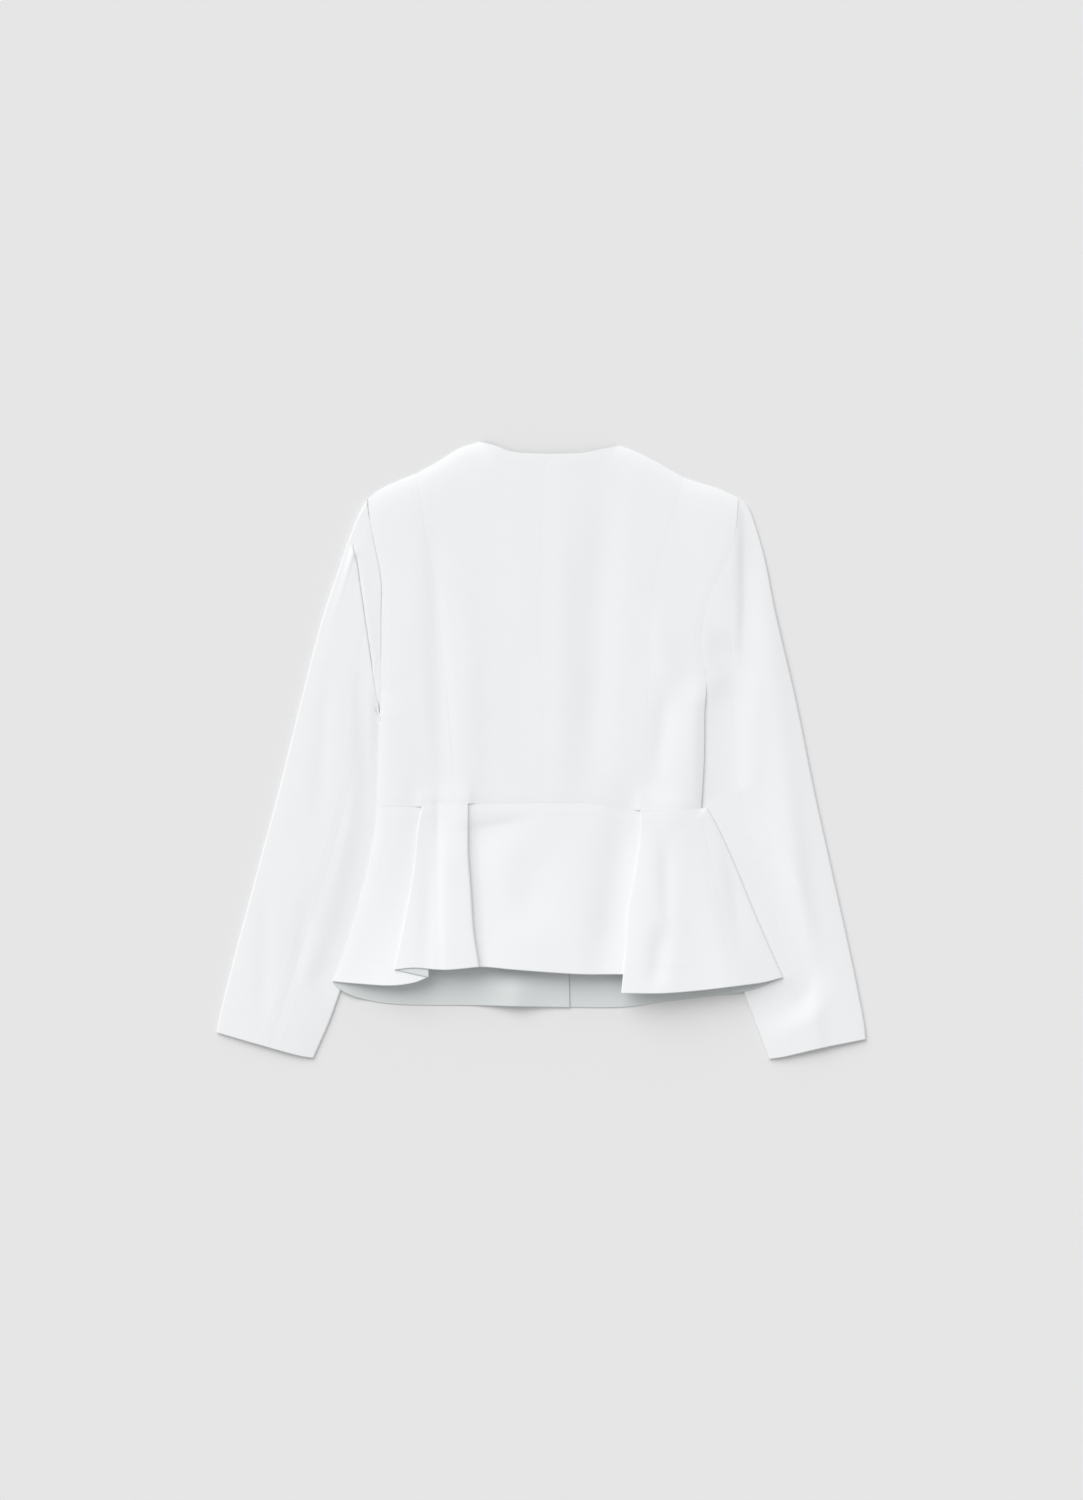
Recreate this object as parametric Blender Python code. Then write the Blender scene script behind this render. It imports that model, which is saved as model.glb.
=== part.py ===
"""A white collarless jacket with a peplum, laid flat and face down, as its maker's pieces.

The ground is z = 0, the neck points to +Y and the back of the jacket faces up. Each piece is a thin wall
round a sheet of middle points. Its outline comes from the seam and edge lines below, and its height from
what lies under it.
"""

import math

import bpy
import numpy as np

for old in list(bpy.data.objects):
    bpy.data.objects.remove(old, do_unlink=True)

# Sizes are in millimetres and become metres when a mesh is made.
MM = 0.001
WALL = 1.2
GAP = 0.3
LAYER = WALL + GAP
STACKED = 1.8
FLOOR = WALL / 2

# Points where several seams meet, as x and y from the middle of the jacket.
TIP_LEFT = (-187, 268)
TIP_RIGHT = (210, 270)
NECK_LEFT = (-66, 330)
NECK_RIGHT = (81, 326)
NECK_CENTRE = (4, 317)
PRINCESS_LEFT = (-134, 296)
PRINCESS_RIGHT = (151, 292)
ARMPIT_LEFT = (-172, 62)
ARMPIT_RIGHT = (175.6, 79)
WAIST_LEFT = (-176, -60)
WAIST_RIGHT = (170, -62)
PEPLUM_TIP_LEFT = (-224, -247)
PEPLUM_TIP_RIGHT = (257, -243)

# Seams and edges of the bodice, each as x and y, from the top down or from left to right.
SHOULDER_LEFT_OUTER = (TIP_LEFT, (-173, 279), (-152, 289), PRINCESS_LEFT)
SHOULDER_LEFT_INNER = (PRINCESS_LEFT, (-109, 310), (-88, 323), NECK_LEFT)
NECK_BACK_LEFT = (NECK_LEFT, (-50, 326), (-30, 319), NECK_CENTRE)
NECK_BACK_RIGHT = (NECK_CENTRE, (41, 318), (62, 322), NECK_RIGHT)
SHOULDER_RIGHT_INNER = (NECK_RIGHT, (94, 322), (116, 312), PRINCESS_RIGHT)
SHOULDER_RIGHT_OUTER = (PRINCESS_RIGHT, (169, 286), (191, 279), TIP_RIGHT)
CENTRE_BACK = (NECK_CENTRE, (0, 265), (-1, 200), (-1, 120), (1, 30), (2, -56))
PRINCESS_SEAM_LEFT = (
    PRINCESS_LEFT, (-127, 247), (-119, 200), (-111, 151), (-105, 95), (-99, 30), (-92, -57),
)
PRINCESS_SEAM_RIGHT = (PRINCESS_RIGHT, (137, 245), (126, 209), (118, 172), (115, 118), (112, 40), (108, -64))
ARMHOLE_LEFT = (TIP_LEFT, (-184, 245), (-178, 215), (-172, 182), (-172, 145), (-172, 105), ARMPIT_LEFT)
ARMHOLE_RIGHT = (TIP_RIGHT, (207, 236), (198, 203), (182, 172), (174, 145), (171.5, 112), ARMPIT_RIGHT)
SIDE_LEFT = (ARMPIT_LEFT, (-174, 26), (-175, -20), WAIST_LEFT)
SIDE_RIGHT = (ARMPIT_RIGHT, (175.4, 62), (173.6, 38), (173, -10), WAIST_RIGHT)
WAIST_TABLE = (
    WAIST_LEFT, (-127, -60), (-92, -57), (2, -56), (49, -56), (84, -63), (108, -64), (148, -64), WAIST_RIGHT,
)

# The fronts lie under the back. Their armholes are scooped further in, and their edges lap at the middle.
ARMHOLE_FRONT_LEFT = (
    TIP_LEFT, (-181, 240), (-171, 205), (-167, 170), (-168, 135), (-171.5, 100), ARMPIT_LEFT,
)
ARMHOLE_FRONT_RIGHT = (
    TIP_RIGHT, (204, 238), (192, 207), (178, 176), (170.5, 145), (170.5, 112), ARMPIT_RIGHT,
)
NECK_FRONT_LEFT = (NECK_LEFT, (-58, 296), (-36, 264), (-5, 244), (30, 238))
NECK_FRONT_RIGHT = (NECK_RIGHT, (73, 296), (51, 264), (20, 244), (-15, 238))
EDGE_LEFT_FRONT = ((30, 238), (29, 80), (28, -60))
EDGE_RIGHT_FRONT = ((-15, 238), (-15, 80), (-15, -60))
WAIST_FRONT_LEFT = (WAIST_LEFT, (28, -60))
WAIST_FRONT_RIGHT = ((-15, -60), WAIST_RIGHT)
LAP_START = -46
LAP_RAMP = 22

# Peplum lines from the waist down to the hem.
PEPLUM_EDGE_LEFT = (WAIST_LEFT, (-179, -90), (-191, -146), (-203, -190), (-216, -230), PEPLUM_TIP_LEFT)
PEPLUM_EDGE_RIGHT = ((176, -62), (188, -84), (207, -126), (224, -168), (240, -205), PEPLUM_TIP_RIGHT)
SIDE_SEAM_RIGHT = ((169, -62), (176, -97), (184, -140), (192, -180), (198, -215), (204, -252))
FOLD_TURN = ((-124, -60), (-124, -89), (-122, -130), (-122, -181), (-121, -242))
FOLD_EDGE = ((-128, -60), (-133, -89), (-137, -130), (-146, -181), (-157, -234))
PLEAT_LEFT = ((-79, -57), (-79, -106), (-76, -149), (-73, -192), (-67, -231))
PLEAT_LEFT_SEAM = ((-98, -57), (-99, -106), (-99, -149), (-98, -192), (-95, -234))
PLEAT_RIGHT = ((106, -64), (105, -95), (99, -135), (92, -175), (90, -210), (85, -259))
PLEAT_RIGHT_SEAM = ((127, -64), (127, -100), (125, -140), (122, -180), (120, -215), (117, -240))
EDGE_LEFT_PEPLUM = ((28, -60), (28, -150), (30, -275))
EDGE_RIGHT_PEPLUM = ((-15, -60), (-15, -150), (-14, -274))
HEM_BACK_CENTRE = ((-95, -234), (-67, -231), (-30, -234), (10, -237), (46, -239), (84, -239), (117, -240))
HEM_SIDE_LEFT = (PEPLUM_TIP_LEFT, (-200, -249), (-162, -251), (-137, -248), (-121, -242))
HEM_FOLD = ((-157, -234), (-136, -232), (-103, -234), (-67, -231))
HEM_SIDE_RIGHT = ((85, -259), (129, -259), (169, -256), (204, -252))
HEM_WRAP = (PEPLUM_TIP_RIGHT, (236, -248), (204, -252))
HEM_FRONT_LEFT = (PEPLUM_TIP_LEFT, (-214, -257), (-192, -266), (-150, -272), (-60, -273), (30, -275))
HEM_FRONT_RIGHT = ((-14, -274), (81, -275), (130, -269), (180, -263), (225, -256), PEPLUM_TIP_RIGHT)

# Sleeve lines. The inner line is hidden under the body down to the hem.
OUTER_LEFT = (
    TIP_LEFT, (-198, 251), (-208, 230), (-217, 204), (-235, 144), (-257, 54), (-279, -36), (-303, -126),
    (-327, -216), (-343, -280), (-347, -302),
)
INNER_LEFT = (
    (-172.7, 62), (-174.2, 46), (-173, 30), (-165, 6), (-156, -30), (-157, -74), (-170, -125), (-192, -190),
    (-216, -257), (-228, -290), (-245, -329),
)
OUTER_RIGHT = (
    TIP_RIGHT, (219, 262), (226, 246), (238, 204), (250, 144), (271, 54), (290, -40), (309, -126),
    (329, -216), (343, -285), (346, -309),
)
INNER_RIGHT = (
    (176.4, 79), (179, 65), (178, 48), (168, 18), (157, -18), (155, -60), (166, -107), (188, -171),
    (216, -256), (227, -285), (244, -330),
)
CUFF_LEFT = ((-245, -329), (-262, -326), (-298, -316), (-347, -302))
CUFF_RIGHT = ((244, -330), (262, -327), (300, -318), (346, -309))
ARM_FOLD_LEFT = ((-174.2, 46), (-179, 72), (-184.5, 108), (-191, 150), (-197, 190), (-205, 227))
ARM_SEAM_TOP = 0.46
ARM_SEAM_SHOULDER = 0.14
INNER_PACE = 1.6
ARM_SEAM_BOTTOM = 0.24
TUCK_DEPTH = 10
ARMHOLE_GAP = 0.8

# Heights of the middle of the cloth where it is not pressed down.
BODY_HEIGHT = 5.4
SIDE_SOFTNESS = 11
SLEEVE_LIFT = 3.2
SLEEVE_EDGE_RADIUS = 1.4
SLEEVE_PUFF = 1.9
SLEEVE_SOFTNESS = 14
PRESSED_MARGIN = 6
FREE_RAMP = 26
HEM_RISE = 7.5
PEPLUM_DEPTH = 190
CENTRE_WAIST = -57

# Soft troughs (depth below 0) and ridges: start x and y, end x and y, half width and depth.
BACK_FOLDS = (
    (-116, 215, -106, -40, 11, -1.3),
    (-84, 190, -74, -40, 14, 0.7),
    (66, 255, 52, -30, 20, -1.6),
    (22, 240, 20, -40, 14, 0.6),
    (122, 140, 140, 60, 13, 0.8),
    (132, 60, 124, -20, 8, -1.2),
    (152, 90, 157, -50, 9, 1.0),
    (192, 255, 186, 195, 10, 1.2),
    (-112, -80, -122, -225, 12, -2.0),
    (-55, -70, -40, -88, 12, -1.6),
    (-10, -105, -14, -180, 22, -1.8),
    (64, -72, 62, -235, 18, -2.6),
    (132, -105, 134, -185, 9, -1.6),
    (128, -195, 122, -248, 11, -2.2),
)
SLEEVE_FOLDS = (
    (207, 268, 214, 190, 5, -3.4),
    (214, 190, 213, 90, 4, -1.8),
    (235, 140, 262, -40, 12, 0.7),
    (-231, 60, -238, -70, 9, -0.9),
    (-296, -160, -297, -280, 10, -1.0),
    (-250, -160, -262, -235, 9, -0.9),
    (210, -112, 244, -117, 7, -1.0),
)


def smooth(points, parts=14):
    """A soft curve through a few points, as a dense line."""
    known = np.array(points, float)
    known = np.vstack([2 * known[0] - known[1], known, 2 * known[-1] - known[-2]])
    dense = []
    for before, start, end, after in zip(known, known[1:], known[2:], known[3:]):
        for part in range(parts):
            f = part / parts
            dense.append(
                start
                + 0.5 * f * (end - before)
                + f**2 * (before - 2.5 * start + 2 * end - 0.5 * after)
                + f**3 * (1.5 * (start - end) + 0.5 * (after - before))
            )
    dense.append(known[-2])
    return np.array(dense)


def joined(*lines):
    """One dense line from several that meet end to end."""
    return np.vstack([smooth(line) for line in lines])


def run_of(line):
    return np.concatenate([[0], np.cumsum(np.hypot(*np.diff(line, axis=0).T))])


def at(line, share):
    """The points at these shares of a dense line's length."""
    run = run_of(line)
    place = np.asarray(share) * run[-1]
    return np.stack([np.interp(place, run, line[:, 0]), np.interp(place, run, line[:, 1])], axis=-1)


def spread(count, low=0.0, high=1.0, stops=(), crowd=0.5):
    """Shares from low to high, closer at both ends, that pass through the stops."""
    even = np.linspace(0, 1, count)
    eased = (1 - crowd) * even + crowd * (0.5 - 0.5 * np.cos(math.pi * even))
    shares = low + (high - low) * eased
    for stop in stops:
        shares[1 + np.argmin(abs(shares[1:-1] - stop))] = stop
    return shares


def step(value):
    value = np.clip(value, 0, 1)
    return value * value * (3 - 2 * value)


def distance(line, x, y):
    """How far each point is from a dense line."""
    nearest = np.full(np.shape(x), 1e9)
    for (ax, ay), (bx, by) in zip(line[:-1], line[1:]):
        dx, dy = bx - ax, by - ay
        length = dx * dx + dy * dy
        if length == 0:
            continue
        f = np.clip(((x - ax) * dx + (y - ay) * dy) / length, 0, 1)
        nearest = np.minimum(nearest, np.hypot(x - ax - f * dx, y - ay - f * dy))
    return nearest


def folds(table, x, y):
    """The soft troughs and ridges of a table, added up."""
    total = np.zeros(np.shape(x))
    for x0, y0, x1, y1, width, depth in table:
        dx, dy = x1 - x0, y1 - y0
        length = math.hypot(dx, dy)
        along = ((x - x0) * dx + (y - y0) * dy) / length
        across = (dx * (y - y0) - dy * (x - x0)) / length
        end = np.clip(np.minimum(along, length - along) / (0.35 * length), -1, 1)
        total += depth * np.exp(-((across / width) ** 2)) * step(0.5 + 0.5 * end)
    return total


def x_on(line, y):
    """The x of a line that runs down, at these y."""
    down = line[::-1]
    return np.interp(y, down[:, 1], down[:, 0])


FREE_EDGE_LEFT = joined(SIDE_LEFT, PEPLUM_EDGE_LEFT)
FREE_EDGE_RIGHT = joined(SIDE_RIGHT, PEPLUM_EDGE_RIGHT)
FRONT_HEM = joined(HEM_FRONT_LEFT, HEM_FRONT_RIGHT[1:])
SHOULDERS = (
    joined(SHOULDER_LEFT_OUTER, SHOULDER_LEFT_INNER),
    joined(SHOULDER_RIGHT_INNER, SHOULDER_RIGHT_OUTER),
)
INNER_LINES = (smooth(INNER_LEFT), smooth(INNER_RIGHT))
OUTER_LINES = (smooth(OUTER_LEFT), smooth(OUTER_RIGHT))
BODY_OUTLINE = np.vstack([FREE_EDGE_LEFT, FRONT_HEM, FREE_EDGE_RIGHT[::-1]])


def lift(x, y):
    """How far the body is raised where a sleeve passes under it."""
    left = step((x_on(INNER_LINES[0], y) + 26 - x) / 16) * step((60 - y) / 16)
    right = step((x - x_on(INNER_LINES[1], y) + 26) / 16) * step((76 - y) / 16)
    return SLEEVE_LIFT * np.maximum(left, right)


def lapped(x):
    """The left front's rise on to the right front, and where it ends."""
    return LAYER * step((x - LAP_START) / LAP_RAMP)


def front_height(x, y, laps=False):
    return FLOOR + lift(x, y) + (lapped(x) if laps else 0)


def under_back(x, y):
    """The highest front cloth under the back."""
    over = lapped(x) * step((58 - x) / LAP_RAMP)
    return FLOOR + lift(x, y) + over


def back_height(x, y):
    """The middle of the back's cloth, bodice and peplum."""
    side = np.minimum(distance(FREE_EDGE_LEFT, x, y), distance(FREE_EDGE_RIGHT, x, y))
    shoulder = np.minimum(distance(SHOULDERS[0], x, y), distance(SHOULDERS[1], x, y))
    inside = (1 - np.exp(-side / SIDE_SOFTNESS)) * (1 - np.exp(-shoulder / SIDE_SOFTNESS))
    below_waist = np.clip((CENTRE_WAIST - y) / PEPLUM_DEPTH, 0, 1.2)
    rise = HEM_RISE * below_waist**1.2 * (1 - np.exp(-((side / 48) ** 2)))
    lowest = under_back(x, y) + LAYER
    free = BODY_HEIGHT + 0.5 * lift(x, y) + rise + folds(BACK_FOLDS, x, y)
    return np.maximum(lowest, lowest * (1 - inside) + free * inside)


def covered(x, y):
    """How far a point is outside the body's outline, 0 under it."""
    inside = (x > x_on(FREE_EDGE_LEFT, y)) & (x < x_on(FREE_EDGE_RIGHT, y))
    hem = np.interp(x, FRONT_HEM[:, 0], FRONT_HEM[:, 1])
    inside &= (y > hem) & (y < 62)
    return np.where(inside, 0, distance(BODY_OUTLINE, x, y))


def sleeve_height(side, x, y):
    """The middle of a sleeve's upper layer, pressed flat where the body lies on it."""
    free = step((covered(x, y) - PRESSED_MARGIN) / FREE_RAMP)
    tip = TIP_LEFT if side == 0 else TIP_RIGHT
    past_tip = step(np.hypot(x - tip[0], y - tip[1]) / 40)
    edge = np.minimum(distance(OUTER_LINES[side], x, y), distance(INNER_LINES[side], x, y))
    puff = SLEEVE_PUFF * (1 - np.exp(-edge / SLEEVE_SOFTNESS)) + folds(SLEEVE_FOLDS, x, y)
    rounded = (2 * SLEEVE_EDGE_RADIUS - LAYER) * past_tip
    return FLOOR + LAYER + np.maximum(0, free * (rounded + puff))


def rows_between(top, bottom, left, right, blend, shares):
    """Points inside two lines and the side points of each row, as rows of x and y."""
    blend = blend[:, None, None]
    shares = shares[..., None] if shares.ndim == 2 else shares[None, :, None]
    across = (1 - shares) * left[:, None] + shares * right[:, None]
    top_bow = at(top, shares[..., 0]) - (1 - shares) * top[0] - shares * top[-1]
    bottom_bow = at(bottom, shares[..., 0]) - (1 - shares) * bottom[0] - shares * bottom[-1]
    return across + (1 - blend) * top_bow + blend * bottom_bow


def patch(top, bottom, left, right, across, down):
    """Points inside four lines: across from left to right, down from top to bottom."""
    return rows_between(top, bottom, at(left, down), at(right, down), down, across)


def raised(flat, height):
    """A flat grid with the height of each point."""
    return np.dstack([flat, height(flat[..., 0], flat[..., 1])])


def cloth(name, grid, colour):
    """A closed wall round a grid of middle points."""
    across = np.gradient(grid, axis=1)
    down = np.gradient(grid, axis=0)
    normal = np.cross(across, down)
    normal /= np.linalg.norm(normal, axis=2, keepdims=True)
    rows, columns = grid.shape[:2]
    points = np.vstack([(grid + side * normal * WALL / 2).reshape(-1, 3) for side in (1, -1)])
    index = np.arange(2 * rows * columns).reshape(2, rows, columns)
    faces = []
    for r in range(rows - 1):
        for c in range(columns - 1):
            a, b, d, e = (index[0, r, c], index[0, r, c + 1], index[0, r + 1, c + 1], index[0, r + 1, c])
            faces.append((a, b, d, e))
            faces.append(tuple(rows * columns + i for i in (e, d, b, a)))
    rim = [*index[0, 0, :], *index[0, 1:, -1], *index[0, -1, -2::-1], *index[0, -2:0:-1, 0]]
    for a, b in zip(rim, rim[1:] + rim[:1]):
        faces.append((b, a, rows * columns + a, rows * columns + b))
    mesh = bpy.data.meshes.new(name)
    mesh.from_pydata((points * MM).tolist(), [], [tuple(int(i) for i in face) for face in faces])
    mesh.validate()
    mesh.shade_smooth()
    mesh.set_sharp_from_angle(angle=math.radians(50))
    obj = bpy.data.objects.new(name, mesh)
    bpy.context.scene.collection.objects.link(obj)
    material = bpy.data.materials.new(name)
    material.use_nodes = True
    shader = material.node_tree.nodes["Principled BSDF"]
    shader.inputs["Base Color"].default_value = (*colour, 1)
    shader.inputs["Roughness"].default_value = 0.9
    shader.inputs["Metallic"].default_value = 0
    mesh.materials.append(material)
    return obj


WHITE = (0.86, 0.86, 0.87)
COOL_WHITE = (0.82, 0.83, 0.85)


def inset(line):
    """The share of a line's length that leaves half a seam's gap."""
    return GAP / 2 / run_of(line)[-1]


def panel(name, top, bottom, left, right, height, columns, rows, stops=((), ()), colour=WHITE):
    """One flat-cut piece between four seams."""
    edge = max(inset(top), inset(bottom))
    end = max(inset(left), inset(right))
    across = spread(columns, edge, 1 - edge, stops[0])
    down = spread(rows, end, 1 - end, stops[1])
    cloth(name, raised(patch(top, bottom, left, right, across, down), height), colour)


def corner_share(first, whole):
    return run_of(first)[-1] / run_of(whole)[-1]


def waist_part(low, high):
    """The waist seam from one x to another."""
    inside = [point for point in WAIST_TABLE if low < point[0] < high]
    table = np.array(WAIST_TABLE, float)
    ends = [(x, np.interp(x, table[:, 0], table[:, 1])) for x in (low, high)]
    return np.array([ends[0], *inside, ends[1]], float)


# Bodice back
top = joined(SHOULDER_LEFT_INNER, NECK_BACK_LEFT)
panel(
    "back_centre_left", top, waist_part(-92, 2), smooth(PRINCESS_SEAM_LEFT), smooth(CENTRE_BACK),
    back_height, 11, 17, ((corner_share(smooth(SHOULDER_LEFT_INNER), top),), ()),
)
top = joined(NECK_BACK_RIGHT, SHOULDER_RIGHT_INNER)
panel(
    "back_centre_right", top, waist_part(2, 108), smooth(CENTRE_BACK), smooth(PRINCESS_SEAM_RIGHT),
    back_height, 11, 17, ((corner_share(smooth(NECK_BACK_RIGHT), top),), ()),
)
side = joined(ARMHOLE_LEFT, SIDE_LEFT)
panel(
    "back_side_left", smooth(SHOULDER_LEFT_OUTER), waist_part(-176, -92), side, smooth(PRINCESS_SEAM_LEFT),
    back_height, 9, 17, ((), (corner_share(smooth(ARMHOLE_LEFT), side),)),
)
side = joined(ARMHOLE_RIGHT, SIDE_RIGHT)
panel(
    "back_side_right", smooth(SHOULDER_RIGHT_OUTER), waist_part(108, 170), smooth(PRINCESS_SEAM_RIGHT), side,
    back_height, 9, 17, ((), (corner_share(smooth(ARMHOLE_RIGHT), side),)),
)

# Bodice fronts, on the ground
side = joined(ARMHOLE_FRONT_LEFT, SIDE_LEFT)
edge = joined(NECK_FRONT_LEFT, EDGE_LEFT_FRONT)
corners = (corner_share(smooth(NECK_FRONT_LEFT), edge), corner_share(smooth(ARMHOLE_FRONT_LEFT), side))
panel(
    "front_left", SHOULDERS[0], np.array(WAIST_FRONT_LEFT, float), side, edge,
    lambda x, y: front_height(x, y, True), 17, 17, ((), corners), COOL_WHITE,
)
side = joined(ARMHOLE_FRONT_RIGHT, SIDE_RIGHT)
edge = joined(NECK_FRONT_RIGHT, EDGE_RIGHT_FRONT)
corners = (corner_share(smooth(NECK_FRONT_RIGHT), edge), corner_share(smooth(ARMHOLE_FRONT_RIGHT), side))
panel(
    "front_right", SHOULDERS[1], np.array(WAIST_FRONT_RIGHT, float), edge, side,
    front_height, 17, 17, ((), corners), COOL_WHITE,
)


def turn(place, heading, low, high, parts):
    """Points of a half turn from one layer to the next, between their ends."""
    angles = np.linspace(0, math.pi, parts + 1)[1:-1]
    radius = abs(high - low) / 2
    flat = place + np.outer(np.sin(angles) * radius, heading)
    return np.column_stack([flat, (low + high) / 2 + (low - high) / 2 * np.cos(angles)])


def folded(name, waist, keys, runs, rows, colour=WHITE):
    """A peplum piece that runs from key line to key line and turns back at each one between.

    A run is its height, its number of points and the hem line that it follows, None for a straight one.
    """
    lines = [smooth(key) for key in keys]
    waist = np.array(waist, float)
    grid = []
    for share in spread(rows, crowd=0.3):
        path = []
        for number, (level, count, hem) in enumerate(runs):
            start, stop = at(lines[number], share), at(lines[number + 1], share)
            heading = (stop - start) / np.linalg.norm(stop - start)
            trims = [GAP / 2, GAP / 2]
            if number > 0:
                trims[0] = abs(runs[number - 1][0](*start) - level(*start)) / 2
            if number < len(runs) - 1:
                trims[1] = abs(runs[number + 1][0](*stop) - level(*stop)) / 2
            f = np.linspace(0, 1, count)[:, None]
            flat = (start + heading * trims[0]) * (1 - f) + (stop - heading * trims[1]) * f
            if hem is not None:
                hem_line = smooth(hem)
                flat += share * (at(hem_line, f[:, 0]) - hem_line[0] * (1 - f) - hem_line[-1] * f)
            seam = np.interp(flat[:, 0], waist[:, 0], waist[:, 1]) - GAP
            straight = lines[number][0, 1] * (1 - f[:, 0]) + lines[number + 1][0, 1] * f[:, 0]
            flat[:, 1] += (1 - share) * (seam - straight)
            path.append(np.column_stack([flat, level(flat[:, 0], flat[:, 1])]))
            if number < len(runs) - 1:
                after = runs[number + 1][0](*flat[-1])
                path.append(turn(flat[-1], heading, path[-1][-1, 2], after, 4))
        grid.append(np.vstack(path))
    return cloth(name, np.array(grid), colour)


def near(value, low, high, softness):
    """1 from low to high, fading outside over the softness."""
    outside = np.maximum(low - value, 0) + np.maximum(value - high, 0)
    return np.exp(-((outside / softness) ** 2))


def left_side_top(x, y):
    """The upper layer of the left side back, over its own fold and over the pleat."""
    fold_end = x_on(smooth(FOLD_TURN), y)
    over_fold = near(x, -400, fold_end + 3, 16)
    over_pleat = near(x, x_on(smooth(PLEAT_LEFT_SEAM), y) - 3, 400, 16)
    return back_height(x, y) + 2 * STACKED * np.maximum(over_fold, over_pleat)


def right_side_top(x, y):
    over_pleat = near(x, -400, x_on(smooth(PLEAT_RIGHT_SEAM), y) + 3, 26)
    return back_height(x, y) + 2 * STACKED * over_pleat


def between(x, y):
    return back_height(x, y) + STACKED


# Peplum back
folded(
    "peplum_back_centre", WAIST_TABLE, (PLEAT_LEFT_SEAM, PLEAT_RIGHT_SEAM),
    ((back_height, 19, HEM_BACK_CENTRE),), 12,
)
folded(
    "peplum_side_left", WAIST_TABLE, (PEPLUM_EDGE_LEFT, FOLD_TURN, FOLD_EDGE, PLEAT_LEFT, PLEAT_LEFT_SEAM),
    (
        (back_height, 9, HEM_SIDE_LEFT), (between, 3, None), (left_side_top, 9, HEM_FOLD),
        (between, 3, None),
    ), 12,
)
folded(
    "peplum_side_right", WAIST_TABLE, (PLEAT_RIGHT_SEAM, PLEAT_RIGHT, SIDE_SEAM_RIGHT),
    ((between, 3, None), (right_side_top, 12, HEM_SIDE_RIGHT)), 12,
)

# Peplum fronts, on the ground
folded(
    "peplum_front_left", WAIST_FRONT_LEFT, (PEPLUM_EDGE_LEFT, EDGE_LEFT_PEPLUM),
    ((lambda x, y: front_height(x, y, True), 17, HEM_FRONT_LEFT),), 12, COOL_WHITE,
)
folded(
    "peplum_front_right", WAIST_FRONT_RIGHT, (EDGE_RIGHT_PEPLUM, PEPLUM_EDGE_RIGHT, SIDE_SEAM_RIGHT),
    ((front_height, 16, HEM_FRONT_RIGHT), (back_height, 5, HEM_WRAP)), 12, COOL_WHITE,
)


def tuck_path(amount):
    """Along and up through an S-shaped tuck, from nothing (0) to full depth (1)."""
    bend = math.pi * step(amount / 0.5)
    flat_run = 1 + (TUCK_DEPTH - 1) * step((amount - 0.5) / 0.5)
    arc = math.pi * LAYER / 2
    pieces = [(arc / 3, bend * (i + 0.5) / 3) for i in range(3)]
    pieces += [(flat_run / 2, bend)] * 2
    pieces += [(arc / 3, bend * (i - 0.5) / 3) for i in range(3, 0, -1)]
    steps = np.array([(length * math.cos(angle), length * math.sin(angle)) for length, angle in pieces])
    return np.vstack([[0, 0], np.cumsum(steps, axis=0)])


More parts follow.
